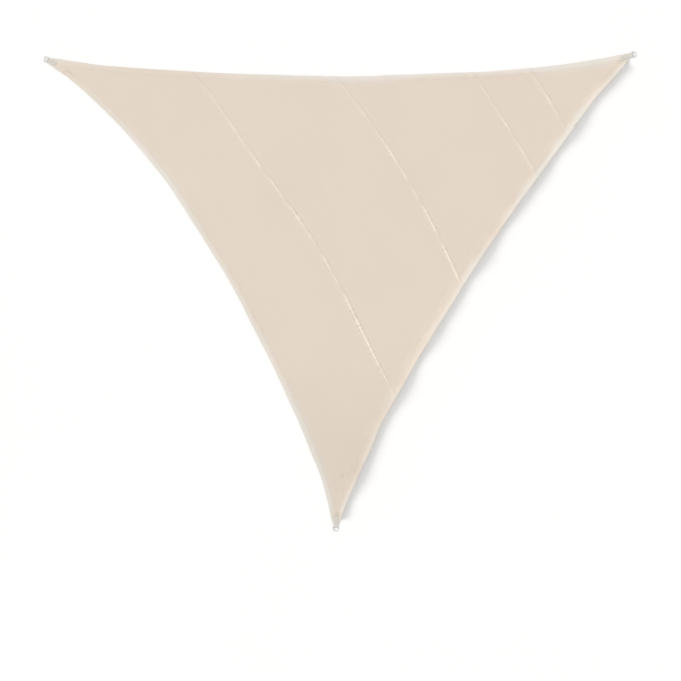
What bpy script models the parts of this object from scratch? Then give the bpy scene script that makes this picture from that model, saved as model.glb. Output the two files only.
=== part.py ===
"""Triangular shade sail, laid out on the ground.

Five cloth panels are lap-sewn edge to edge, and each carries its share of the folded outer hem.
At each corner a webbing tab is sewn over and under the cut tip of the cloth and holds a welded
steel D-ring. The cloth lies flat, apart from the hem of the right side, which curls up.

Metres, +Z up. The long top side runs along X. The origin is on the ground, at the middle of the
footprint, which the three rings bound.
"""
from functools import lru_cache
from math import acos, asin, atan2, cos, pi, radians, sin, tau

import bmesh
import bpy
from mathutils import Matrix, Vector

# The triangle, from ring centre to ring centre, and the slope of its top side
TOP_SIDE = 3.600
LEFT_SIDE = 3.378
RIGHT_SIDE = 3.431
TOP_SLOPE = radians(0.48)

# Each cut edge: the rings it runs between, and how deep it is cut in from the straight line
# between their centres, at the start, 1/4, 1/2, 3/4 and the end
EDGES = {
    "top": ("left", "right", (-0.010, 0.083, 0.115, 0.095, -0.012)),
    "left": ("left", "bottom", (-0.016, 0.212, 0.240, 0.173, -0.008)),
    "right": ("right", "bottom", (-0.001, 0.096, 0.131, 0.113, -0.010)),
}

# Each seam: its share of the top edge, its share of the right edge, and how far it bows out to
# the right at even stations between them
SEAMS = (
    (0.2435, 0.7440, (0.004, 0.0425, 0.0605, 0.084, 0.0755, 0.0345, -0.002)),
    (0.4914, 0.5153, (0.0, 0.039, 0.0525, 0.039, 0.0)),
    (0.7240, 0.2770, (0.0, 0.006, 0.008, 0.006, 0.0)),
    (0.8200, 0.1830, (0.0, 0.0045, 0.006, 0.0045, 0.0)),
)

# Cloth: the hem is the edge folded over on top and sewn down
CLOTH_THICK = 0.0012
HEM_WIDTH = 0.036
HEM_THICK = 0.0026
HEM_STEP = 0.002

# Seams: the western panel rises over the edge of the next one and is sewn down on it
LAP_HALF = 0.008
LAP_RISE = 0.012
SEAM_GAP = 0.00045

# Where the mesh lines lie: distances in from the top and right edges and from the left edge,
# then the number of steps between them, down the panels and across each one
ROW_INSETS = (0.0, HEM_WIDTH, HEM_WIDTH + HEM_STEP, 0.050, 0.080, 0.120)
LEFT_INSETS = (0.0, HEM_WIDTH, HEM_WIDTH + HEM_STEP, 0.052, 0.070, 0.095)
MID_ROWS = 24
MID_COLUMNS = (14, 12, 11, 5, 11)

# The right hem curls up: height at the edge, reach into the cloth, distance from a corner where
# it starts and where it has its full height, and its waves: how many, share of height, phase
CURL_HEIGHT = 0.043
CURL_REACH = 0.050
CURL_STARTS_AT = 0.056
CURL_FULL_FROM = 0.090
CURL_WAVES = ((7.0, 0.16, 0.6), (11.0, 0.10, 2.1))

# The other two hems ripple a little: height at the edge, reach, waves over the side, phase
RIPPLES = {
    "top": (0.0026, 0.100, 9.0, 0.4),
    "left": (0.0034, 0.100, 8.0, 1.9),
}

# Low swells in the cloth: middle as shares of the ways from the left ring to the right ring and
# to the bottom ring, half length, half width, turn, height
SWELLS = (
    (0.26, 0.22, 0.42, 0.26, radians(-38), 0.006),
    (0.20, 0.55, 0.40, 0.20, radians(-58), 0.005),
    (0.47, 0.22, 0.36, 0.24, radians(-52), 0.005),
)

# Webbing tab: its legs reach over and under the cloth, which lies on the lower one near the ring
WEB_WIDTH = 0.024
WEB_THICK = 0.0015
WEB_GAP = 0.0004
TAB_LEG = 0.046
TIP_LIFT = WEB_THICK + WEB_GAP
LIFT_FULL_TO = 0.122
LIFT_NONE_FROM = 0.165

# D-ring of round wire: its bar lies in the tab's loop, and its bow leans down to the ground
WIRE = 0.005
RING_INSIDE_WIDTH = 0.027
RING_INSIDE_DEPTH = 0.018
RING_CORNER = 0.004
BAR_GAP = 0.00035
FLOOR_GAP = 0.0001
BOW_STEPS = 14
CORNER_STEPS = 3
LOOP_STEPS = 8
WIRE_ROUNDNESS = 2

LOOP_INSIDE = WIRE / 2 + BAR_GAP
BAR_HEIGHT = WEB_THICK + LOOP_INSIDE
RING_DEPTH = RING_INSIDE_DEPTH + WIRE
RING_HALF_WIDTH = (RING_INSIDE_WIDTH + WIRE) / 2
RING_TILT = asin((BAR_HEIGHT - WIRE / 2 - FLOOR_GAP) / RING_DEPTH)

# Materials: colour, roughness, metallic
FINISHES = {
    "sail_cloth": ((0.72, 0.63, 0.54), 0.85, 0.0),
    "webbing": ((0.66, 0.63, 0.56), 0.80, 0.0),
    "ring_steel": ((0.56, 0.57, 0.58), 0.30, 1.0),
}

# Edges sharper than this are not shaded smooth
CLOTH_SHARP_FROM = radians(40)
TAB_SHARP_FROM = radians(30)

# Share of a line over which its slope is taken, steps in the search for a crossing, and how
# close two points count as one
SLOPE_STEP = 1e-4
CROSSING_ROUNDS = 8
SAME_POINT = 1e-6


def smooth_step(low, high, value):
    """Goes smoothly from 0 at low to 1 at high."""
    share = min(max((value - low) / (high - low), 0.0), 1.0)
    return share * share * (3.0 - 2.0 * share)


def corner_points():
    """Ring centres in plan, with the left ring at zero."""
    left = Vector((0.0, 0.0))
    right = TOP_SIDE * Vector((cos(TOP_SLOPE), sin(TOP_SLOPE)))
    opening = acos((TOP_SIDE**2 + LEFT_SIDE**2 - RIGHT_SIDE**2) / (2 * TOP_SIDE * LEFT_SIDE))
    down = TOP_SLOPE - opening
    bottom = LEFT_SIDE * Vector((cos(down), sin(down)))
    return {"left": left, "right": right, "bottom": bottom}


def through_stations(depths):
    """The smooth curve through evenly spaced depths, as a function of the share along it."""
    last = len(depths) - 1

    def depth(share):
        total = 0.0
        for i, value in enumerate(depths):
            weight = 1.0
            for j in range(len(depths)):
                if j != i:
                    weight *= (share * last - j) / (i - j)
            total += value * weight
        return total

    return depth


class Line:
    """A bowed line in plan. Offsets from it count towards the side that it bows to."""

    def __init__(self, start, end, bow, side):
        self.start = start
        self.run = end - start
        self.bow = bow
        self.side = side
        self.across = self.turned(self.run)

    def turned(self, along):
        """The unit vector square to a direction, on the line's own side."""
        return Vector((-along.y, along.x)).normalized() * self.side

    @lru_cache(maxsize=None)
    def at(self, share, offset=0.0):
        """The point at a share of the way along, moved sideways by an offset."""
        point = self.start + self.run * share + self.across * self.bow(share)
        if offset:
            ahead = self.at(share + SLOPE_STEP) - self.at(share - SLOPE_STEP)
            point = point + self.turned(ahead) * offset
        return point

    def locate(self, point):
        """The share along the line beside a point, and the point's distance to that side."""
        share = (point - self.start).dot(self.run) / self.run.length_squared
        slope = (self.bow(share + SLOPE_STEP) - self.bow(share - SLOPE_STEP)) / (2 * SLOPE_STEP)
        lean = cos(atan2(slope, self.run.length))
        inset = ((point - self.start).dot(self.across) - self.bow(share)) * lean
        return share, inset


@lru_cache(maxsize=None)
def crossing(line_a, offset_a, line_b, offset_b):
    """Shares along two offset lines, and the point, where they cross."""
    share_a, share_b = START_SHARES[line_a, line_b]
    for _ in range(CROSSING_ROUNDS):
        miss = line_b.at(share_b, offset_b) - line_a.at(share_a, offset_a)
        run_a = line_a.at(share_a + SLOPE_STEP, offset_a) - line_a.at(share_a - SLOPE_STEP, offset_a)
        run_b = line_b.at(share_b + SLOPE_STEP, offset_b) - line_b.at(share_b - SLOPE_STEP, offset_b)
        span = run_a.cross(run_b) / (2 * SLOPE_STEP)
        share_a += miss.cross(run_b) / span
        share_b += miss.cross(run_a) / span
    return share_a, share_b, line_a.at(share_a, offset_a)


def edge_line(name):
    """The cut edge of one side, with offsets counted into the cloth."""
    start, end, depths = EDGES[name]
    third = next(place for key, place in RINGS.items() if key not in (start, end))
    run = RINGS[end] - RINGS[start]
    side = 1.0 if run.cross(third - RINGS[start]) > 0 else -1.0
    return Line(RINGS[start], RINGS[end], through_stations(depths), side)


def seam_line(top_share, right_share, depths):
    """One seam, from the top edge to the right edge, with offsets counted to the right."""
    top = EDGE["top"].at(top_share)
    right = EDGE["right"].at(right_share)
    return Line(top, right, through_stations(depths), 1.0)


RINGS = corner_points()
EDGE = {name: edge_line(name) for name in EDGES}
SEAM = [seam_line(*row) for row in SEAMS]

# Where to start looking for each crossing
START_SHARES = {
    (EDGE["left"], EDGE["top"]): (0.0, 0.0),
    (EDGE["left"], EDGE["right"]): (1.0, 1.0),
    (EDGE["top"], EDGE["right"]): (1.0, 0.0),
}
for seam, (top_share, right_share, _) in zip(SEAM, SEAMS):
    START_SHARES[seam, EDGE["top"]] = (0.0, top_share)
    START_SHARES[seam, EDGE["right"]] = (1.0, right_share)


class Tip:
    """The cut tip of the cloth at one ring, where each hem line meets the other edge."""

    def __init__(self, ring, first, second):
        self.ring = RINGS[ring]
        cut_a = crossing(first, HEM_WIDTH, second, 0.0)[2]
        cut_b = crossing(first, 0.0, second, HEM_WIDTH)[2]
        self.middle = (cut_a + cut_b) / 2
        self.reach = (self.ring - self.middle).length
        self.out = (self.ring - self.middle).normalized()
        self.lateral = Vector((-self.out.y, self.out.x))
        self.turn = atan2(self.out.y, self.out.x)
        self.bar = self.ring - self.out * RING_DEPTH / 2


TIPS = {
    "left": Tip("left", EDGE["left"], EDGE["top"]),
    "right": Tip("right", EDGE["top"], EDGE["right"]),
    "bottom": Tip("bottom", EDGE["left"], EDGE["right"]),
}


def curl_height(share):
    """Height of the curled right edge at a share along it."""
    along = min(share, 1.0 - share) * RIGHT_SIDE
    waves = sum(size * sin(tau * count * share + phase) for count, size, phase in CURL_WAVES)
    return CURL_HEIGHT * (1.0 + waves) * smooth_step(CURL_STARTS_AT, CURL_FULL_FROM, along)


def swell_height(point):
    """Height of the low swells at a point."""
    total = 0.0
    for to_right, to_bottom, half_length, half_width, turn, height in SWELLS:
        middle = RINGS["right"] * to_right + RINGS["bottom"] * to_bottom
        away = Matrix.Rotation(-turn, 2) @ (point - middle)
        reach = Vector((away.x / half_length, away.y / half_width)).length
        total += height * (1.0 - smooth_step(0.0, 1.0, reach))
    return total


def relief(point):
    """Height of the cloth's underside above the ground."""
    height = swell_height(point)
    share, inset = EDGE["right"].locate(point)
    height += curl_height(share) * max(0.0, 1.0 - max(inset, 0.0) / CURL_REACH) ** 2
    for name, (rise, reach, waves, phase) in RIPPLES.items():
        share, inset = EDGE[name].locate(point)
        wave = 0.5 + 0.5 * sin(tau * waves * share + phase)
        height += rise * wave * max(0.0, 1.0 - max(inset, 0.0) / reach) ** 2
    near = min((point - ring).length for ring in RINGS.values())
    held = 1.0 - smooth_step(LIFT_FULL_TO, LIFT_NONE_FROM, near)
    return height * (1.0 - held) + TIP_LIFT * held


class Panel:
    """One cloth panel: its west and east lines, and the mesh columns and rows between them.

    A column or a row is (side, value): an offset from the line on that side, or a share of the
    way across where the side is "mid".
    """

    def __init__(self, number):
        self.first = number == 0
        self.last = number == len(SEAM)
        self.north = EDGE["top"]
        self.south = EDGE["right"]
        self.west = EDGE["left"] if self.first else SEAM[number - 1]
        self.east = None if self.last else SEAM[number]
        self.deep = ROW_INSETS[-1]
        self.west_in = LEFT_INSETS[-1] if self.first else LAP_HALF
        self.east_in = -LAP_HALF - LAP_RISE
        across = MID_COLUMNS[number]
        west = LEFT_INSETS if self.first else (-LAP_HALF, LAP_HALF)
        self.columns = [("west", offset) for offset in west]
        self.columns += [("mid", step / across) for step in range(1, across)]
        if self.last:
            self.columns += [("east", 0.0), ("cut", 0.0)]
        else:
            self.columns += [("east", offset) for offset in (self.east_in, -LAP_HALF, LAP_HALF)]
        self.rows = [("north", inset) for inset in ROW_INSETS]
        self.rows += [("mid", step / MID_ROWS) for step in range(1, MID_ROWS)]
        self.rows += [("south", inset) for inset in reversed(ROW_INSETS)]

    def upright(self, side, offset, row):
        """The node of a west or east line on a row."""
        line = self.west if side == "west" else self.east
        row_side, value = row
        if row_side == "mid":
            start = crossing(line, offset, self.north, self.deep)[0]
            end = crossing(line, offset, self.south, self.deep)[0]
            return line.at(start + (end - start) * value, offset)
        return crossing(line, offset, self.north if row_side == "north" else self.south, value)[2]

    def level(self, side, inset, share):
        """The node of a top or right edge line at a share of the way across."""
        line = self.north if side == "north" else self.south
        start = crossing(self.west, self.west_in, line, inset)[1]
        if self.last:
            end = crossing(self.north, inset, self.south, inset)[0 if side == "north" else 1]
        else:
            end = crossing(self.east, self.east_in, line, inset)[1]
        return line.at(start + (end - start) * share, inset)

    def tip_node(self, column_side, row):
        """The node of the last panel's two end columns, at its mitre and at the tip's cut."""
        row_side, value = row
        inset = self.deep if row_side == "mid" else value
        if inset > 0.0:
            return crossing(self.north, inset, self.south, inset)[2]
        if column_side == "cut":
            return TIPS["right"].middle
        cut = (0.0, HEM_WIDTH) if row_side == "north" else (HEM_WIDTH, 0.0)
        return crossing(self.north, cut[0], self.south, cut[1])[2]

    def inside(self, across, down):
        """A node between the four innermost lines."""
        west = self.upright("west", self.west_in, ("mid", down))
        north_west = self.upright("west", self.west_in, ("north", self.deep))
        south_west = self.upright("west", self.west_in, ("south", self.deep))
        if self.last:
            east = north_east = south_east = self.tip_node("east", ("mid", down))
        else:
            east = self.upright("east", self.east_in, ("mid", down))
            north_east = self.upright("east", self.east_in, ("north", self.deep))
            south_east = self.upright("east", self.east_in, ("south", self.deep))
        north = self.level("north", self.deep, across)
        south = self.level("south", self.deep, across)
        corners = north_west.lerp(north_east, across).lerp(south_west.lerp(south_east, across), down)
        return west.lerp(east, across) + north.lerp(south, down) - corners

    def node(self, column, row):
        """The place in plan of one mesh node."""
        column_side, across = column
        row_side, down = row
        if self.first and across == down == 0.0 and column_side == "west" and row_side != "mid":
            return TIPS["left" if row_side == "north" else "bottom"].middle
        if self.last and column_side in ("east", "cut"):
            return self.tip_node(column_side, row)
        if column_side != "mid":
            return self.upright(column_side, across, row)
        if row_side != "mid":
            return self.level(row_side, down, across)
        return self.inside(across, down)

    def thickness(self, column, row):
        """Thickness of the cloth at one node, folded in the hem."""
        in_hem = row[0] != "mid" and row[1] <= HEM_WIDTH
        if self.first and column[0] == "west":
            in_hem = in_hem or column[1] <= HEM_WIDTH
        if column[0] == "cut":
            in_hem = True
        return HEM_THICK if in_hem else CLOTH_THICK

    def lap_lift(self, column, row):
        """How far a node is lifted to lie on the next panel in the seam."""
        if self.last or column[0] != "east" or column[1] < -LAP_HALF:
            return 0.0
        return self.thickness(column, row) + SEAM_GAP


def new_object(name, mesh, material, carrier):
    """An object in the scene, held by the carrier."""
    obj = bpy.data.objects.new(name, mesh)
    obj.data.materials.append(material)
    obj.parent = carrier
    bpy.context.scene.collection.objects.link(obj)
    return obj


def finish_mesh(bm, name, sharp_angle):
    """A mesh of a bmesh, facing out and shaded smooth between its sharp edges."""
    bmesh.ops.recalc_face_normals(bm, faces=bm.faces[:])
    mesh = bpy.data.meshes.new(name)
    bm.to_mesh(mesh)
    bm.free()
    mesh.shade_smooth()
    mesh.set_sharp_from_angle(angle=sharp_angle)
    return mesh


def panel_mesh(number, name):
    """One cloth panel as a closed sheet, two layers of the same triangles apart."""
    panel = Panel(number)
    columns = panel.columns
    rows = panel.rows
    bm = bmesh.new()
    bmesh.ops.create_grid(bm, x_segments=len(columns) - 1, y_segments=len(rows) - 1, size=1.0)
    thick = bm.verts.layers.float.new("thick")
    for vert in bm.verts:
        column = columns[round((vert.co.x + 1.0) / 2.0 * (len(columns) - 1))]
        row = rows[round((1.0 - vert.co.y) / 2.0 * (len(rows) - 1))]
        place = panel.node(column, row)
        vert[thick] = panel.thickness(column, row)
        vert.co = (place.x, place.y, relief(place) + panel.lap_lift(column, row))
    bmesh.ops.triangulate(bm, faces=bm.faces[:], quad_method="FIXED")
    bmesh.ops.remove_doubles(bm, verts=bm.verts[:], dist=SAME_POINT)
    lifted = bmesh.ops.extrude_face_region(bm, geom=bm.faces[:])["geom"]
    for vert in lifted:
        if isinstance(vert, bmesh.types.BMVert):
            vert.co.z += vert[thick]
    return finish_mesh(bm, name, CLOTH_SHARP_FROM)


def tab_section(cut):
    """The tab's section along its axis, as (out, up) points from the ring's bar.

    The cloth's tip is cut off at a distance before the bar.
    """
    inner = -cut - TAB_LEG
    over_low = TIP_LIFT + HEM_THICK + WEB_GAP
    outside = LOOP_INSIDE + WEB_THICK
    turns = [pi * (step / LOOP_STEPS - 0.5) for step in range(LOOP_STEPS + 1)]
    outer_loop = [(outside * cos(turn), BAR_HEIGHT + outside * sin(turn)) for turn in turns]
    inner_loop = [(LOOP_INSIDE * cos(turn), BAR_HEIGHT + LOOP_INSIDE * sin(turn)) for turn in turns]
    section = [(inner, 0.0)]
    section += outer_loop
    section += [(-cut + WEB_GAP, over_low + WEB_THICK), (inner, over_low + WEB_THICK)]
    section += [(inner, over_low), (-cut + WEB_GAP, over_low)]
    section += reversed(inner_loop)
    section += [(inner, WEB_THICK)]
    return section


def tab_mesh(tip, name):
    """A webbing tab: one strip under the cloth's tip, round the ring's bar and back over it."""
    bm = bmesh.new()
    section = tab_section(tip.reach - RING_DEPTH / 2)
    verts = [bm.verts.new((out, -WEB_WIDTH / 2, up)) for out, up in section]
    side = bm.faces.new(verts)
    moved = bmesh.ops.extrude_face_region(bm, geom=[side])["geom"]
    far_side = [item for item in moved if isinstance(item, bmesh.types.BMVert)]
    bmesh.ops.translate(bm, verts=far_side, vec=(0.0, WEB_WIDTH, 0.0))
    return finish_mesh(bm, name, TAB_SHARP_FROM)


def ring_path():
    """The centre line of the ring's wire: x outwards from the bar, y across."""
    points = []
    half_bar = RING_HALF_WIDTH - RING_CORNER
    for step in range(CORNER_STEPS + 1):
        turn = pi / 2 * step / CORNER_STEPS
        points.append((RING_CORNER * (1.0 - cos(turn)), half_bar + RING_CORNER * sin(turn)))
    bow_centre = RING_DEPTH - RING_HALF_WIDTH
    for step in range(BOW_STEPS + 1):
        turn = pi / 2 - pi * step / BOW_STEPS
        points.append((bow_centre + RING_HALF_WIDTH * cos(turn), RING_HALF_WIDTH * sin(turn)))
    for step in range(CORNER_STEPS + 1):
        turn = pi / 2 * (1.0 - step / CORNER_STEPS)
        points.append((RING_CORNER * (1.0 - cos(turn)), -half_bar - RING_CORNER * sin(turn)))
    return points


def ring_curve(name):
    """A D-ring of round wire, as a closed bevelled curve with its bar on the Y axis."""
    curve = bpy.data.curves.new(name, "CURVE")
    curve.dimensions = "3D"
    curve.bevel_depth = WIRE / 2
    curve.bevel_resolution = WIRE_ROUNDNESS
    points = ring_path()
    spline = curve.splines.new("POLY")
    spline.points.add(len(points) - 1)
    for point, (out, across) in zip(spline.points, points):
        point.co = (out, across, 0.0, 1.0)
    spline.use_cyclic_u = True
    spline.use_smooth = True
    return curve


def ring_spots(tip):
    """The wire's centre line in plan, at one corner."""
    flat = cos(RING_TILT)
    return [tip.bar + tip.out * out * flat + tip.lateral * across for out, across in ring_path()]


def footprint_middle():
    """The middle of the box around the three rings, in plan."""
    spots = [spot for tip in TIPS.values() for spot in ring_spots(tip)]
    xs = [spot.x for spot in spots]
    ys = [spot.y for spot in spots]
    return Vector(((min(xs) + max(xs)) / 2, (min(ys) + max(ys)) / 2))


def surface(name):
    """One of the materials."""
    color, roughness, metallic = FINISHES[name]
    material = bpy.data.materials.new(name)
    material.use_nodes = True
    shader = material.node_tree.nodes["Principled BSDF"]
    shader.inputs["Base Color"].default_value = (*color, 1.0)
    shader.inputs["Roughness"].default_value = roughness
    shader.inputs["Metallic"].default_value = metallic
    return material


def main():
    """Builds the sail."""
    for obj in list(bpy.data.objects):
        bpy.data.objects.remove(obj)
    middle = footprint_middle()
    carrier = bpy.data.objects.new("sail", None)
    carrier.location = (-middle.x, -middle.y, 0.0)
    bpy.context.scene.collection.objects.link(carrier)

    cloth = surface("sail_cloth")
    webbing = surface("webbing")
    steel = surface("ring_steel")

    for number in range(len(SEAM) + 1):
        name = f"cloth_panel_{number + 1}"
        new_object(name, panel_mesh(number, name), cloth, carrier)

    for corner, tip in TIPS.items():
        name = f"corner_tab_{corner}"
        tab = new_object(name, tab_mesh(tip, name), webbing, carrier)
        tab.location = (tip.bar.x, tip.bar.y, 0.0)
        tab.rotation_euler = (0.0, 0.0, tip.turn)
        name = f"d_ring_{corner}"
        ring = new_object(name, ring_curve(name), steel, carrier)
        ring.location = (tip.bar.x, tip.bar.y, BAR_HEIGHT)
        ring.rotation_euler = (0.0, RING_TILT, tip.turn)


main()
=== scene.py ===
"""Dresses the triangular shade sail, laid out face up on a pale floor and seen from above.

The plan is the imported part's own: three bowed sides between the ring centres, and four seams
that run down from the top side to the right side. Each cloth panel is laid on that plan as a
sheet with a folded hem, lap seams and puckers. The webbing tabs, the rings and the thread
follow. Metres, +Z up.
"""

import logging
from dataclasses import dataclass, field
from enum import Enum
from functools import lru_cache
from math import acos, asin, atan2, ceil, cos, exp, pi, radians, sin, tau
from typing import Any, Iterable, Optional, Sequence

import bmesh
import bpy
from mathutils import Matrix, Vector, noise
from mathutils.bvhtree import BVHTree


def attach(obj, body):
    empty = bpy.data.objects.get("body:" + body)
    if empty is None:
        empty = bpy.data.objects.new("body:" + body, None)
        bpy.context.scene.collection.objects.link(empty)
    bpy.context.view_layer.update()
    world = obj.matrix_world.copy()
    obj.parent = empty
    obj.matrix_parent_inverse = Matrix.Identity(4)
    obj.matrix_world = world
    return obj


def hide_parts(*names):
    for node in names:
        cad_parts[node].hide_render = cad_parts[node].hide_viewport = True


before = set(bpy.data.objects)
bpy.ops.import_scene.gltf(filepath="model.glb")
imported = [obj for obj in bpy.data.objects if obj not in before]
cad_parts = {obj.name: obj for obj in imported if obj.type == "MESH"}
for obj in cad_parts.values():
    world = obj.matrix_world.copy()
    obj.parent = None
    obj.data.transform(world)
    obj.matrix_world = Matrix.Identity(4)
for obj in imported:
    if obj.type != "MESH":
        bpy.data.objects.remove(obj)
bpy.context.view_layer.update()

LOG = logging.getLogger("shade_sail")
BODY = "root"
MILLIMETRE = 0.001

Color = tuple[float, float, float]
Piece = bpy.types.Object
Socket = bpy.types.NodeSocket
Rim = list[bmesh.types.BMEdge]


class Ring(Enum):
    """The three corners of the sail, by their rings."""

    LEFT = "left"
    RIGHT = "right"
    BOTTOM = "bottom"


class Hem(Enum):
    """The three hemmed sides."""

    TOP = "top"
    LEFT = "left"
    RIGHT = "right"


class Slot(Enum):
    """The record's material slots."""

    CLOTH = "sail_cloth"
    WEBBING = "webbing"
    STEEL = "ring_steel"


class Side(Enum):
    """What the place of a mesh line is counted from.

    Lines in the middle share out the cloth between two others, and the point is where the last
    panel's rows run out.
    """

    WEST = "west"
    EAST = "east"
    NORTH = "north"
    SOUTH = "south"
    MIDDLE = "middle"
    POINT = "point"


Place = tuple[Side, float]


def smooth_step(low: float, high: float, value: float) -> float:
    """Goes smoothly from 0 at low to 1 at high."""
    share = min(max((value - low) / (high - low), 0.0), 1.0)
    return share * share * (3.0 - 2.0 * share)


def between(rows: Sequence[Sequence[float]], at: float, column: int) -> float:
    """Reads a short table at a value of its first column.

    Args:
        rows: Rows in rising order of their first column.
        at: The value to read at, held at the table's ends.
        column: Which column to read.

    Returns:
        The column's value, straight between its two neighbouring rows.
    """
    if at <= rows[0][0]:
        return rows[0][column]
    for low, high in zip(rows, rows[1:]):
        if at <= high[0]:
            share = (at - low[0]) / (high[0] - low[0])
            return low[column] + (high[column] - low[column]) * share
    return rows[-1][column]


def evenly(values: Sequence[float], share: float) -> float:
    """Reads evenly spaced values at a share of the way through them, smoothly between them.

    Args:
        values: The values at even stations, both ends included.
        share: The share of the way through them, held between 0 and 1.

    Returns:
        The value there.
    """
    place = min(max(share, 0.0), 1.0) * (len(values) - 1)
    low = min(int(place), len(values) - 2)
    return values[low] + (values[low + 1] - values[low]) * smooth_step(0.0, 1.0, place - low)


def falling(inset: float, reach: float) -> float:
    """Falls evenly from 1 at a hem's fold to 0 where the reach in from it ends."""
    return max(0.0, 1.0 - max(inset, 0.0) / reach)


def only(geometry: Iterable[Any], kind: type) -> list[Any]:
    """The items of one kind among those that an operator made."""
    return [item for item in geometry if isinstance(item, kind)]


class BowedLine:
    """A bowed line in plan. Offsets count square to it, towards the side that it bows to."""

    SLOPE_STEP = 1e-4

    def __init__(self, start: Vector, end: Vector, depths: Sequence[float], side: float) -> None:
        """Lays the line.

        Args:
            start: Where it starts.
            end: Where it ends.
            depths: How deep it bows at evenly spaced stations, both ends included.
            side: 1 where it bows to the left of its run, -1 where it bows to the right.
        """
        self.start = start
        self.run = end - start
        self.side = side
        self.across = self.turned(self.run)
        self.terms = list(depths)
        self.last = len(depths) - 1
        for order in range(1, self.last + 1):
            for i in range(self.last, order - 1, -1):
                self.terms[i] = (self.terms[i] - self.terms[i - 1]) * self.last / order

    @property
    def length(self) -> float:
        """The straight distance between its ends."""
        return self.run.length

    def turned(self, along: Vector) -> Vector:
        """The unit vector square to a direction, on the line's own side."""
        return Vector((-along.y, along.x)).normalized() * self.side

    def bow(self, share: float) -> float:
        """The depth at a share of the way along, on the smooth curve through the stations.

        Args:
            share: The share of the way along.

        Returns:
            How far the line lies out from its straight run.
        """
        depth = self.terms[-1]
        for i in range(self.last - 1, -1, -1):
            depth = depth * (share - i / self.last) + self.terms[i]
        return depth

    def at(self, share: float, offset: float = 0.0) -> Vector:
        """The point at a share of the way along, moved sideways by an offset.

        Args:
            share: The share of the way along.
            offset: How far to move sideways, towards the line's own side.

        Returns:
            The point in plan.
        """
        point = self.start + self.run * share + self.across * self.bow(share)
        if offset:
            point = point + self.turned(self.heading(share)) * offset
        return point

    def heading(self, share: float) -> Vector:
        """The direction of the line at a share, not a unit vector."""
        return self.at(share + self.SLOPE_STEP) - self.at(share - self.SLOPE_STEP)

    def locate(self, point: Vector) -> tuple[float, float]:
        """Places a point beside the line.

        Args:
            point: A point in plan.

        Returns:
            The share along the line, and the offset from it.
        """
        share = (point - self.start).dot(self.run) / self.run.length_squared
        step = self.SLOPE_STEP
        slope = (self.bow(share + step) - self.bow(share - step)) / (2 * step)
        lean = cos(atan2(slope, self.length))
        return share, ((point - self.start).dot(self.across) - self.bow(share)) * lean


@dataclass(frozen=True)
class Tip:
    """The cut tip of the cloth at one ring."""

    ring: Vector
    middle: Vector
    ring_depth: float

    @property
    def reach(self) -> float:
        """From the cut's middle to the ring's centre."""
        return (self.ring - self.middle).length

    @property
    def out(self) -> Vector:
        """The unit vector from the cloth to the ring."""
        return (self.ring - self.middle).normalized()

    @property
    def lateral(self) -> Vector:
        """The unit vector along the ring's bar."""
        return Vector((-self.out.y, self.out.x))

    @property
    def bar(self) -> Vector:
        """The middle of the ring's straight bar."""
        return self.ring - self.out * self.ring_depth / 2

    def matrix(self, height: float = 0.0, tilt: float = 0.0) -> Matrix:
        """Carries a shape from the bar's own axes, x outwards, to its place on the sail.

        Args:
            height: The bar's height.
            tilt: How far the shape leans down round the bar.

        Returns:
            The matrix.
        """
        turn = Matrix.Rotation(atan2(self.out.y, self.out.x), 4, "Z")
        place = Matrix.Translation((self.bar.x, self.bar.y, height))
        return place @ turn @ Matrix.Rotation(tilt, 4, "Y")


@dataclass(frozen=True)
class Spot:
    """A place on the laid-out sail, measured from all that shapes the cloth there."""

    point: Vector
    hems: dict[Hem, tuple[float, float]]
    seams: tuple[tuple[float, float], ...]
    tab_distance: float

    @property
    def inset(self) -> float:
        """The distance in from the nearest side."""
        return min(inset for _, inset in self.hems.values())


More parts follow.
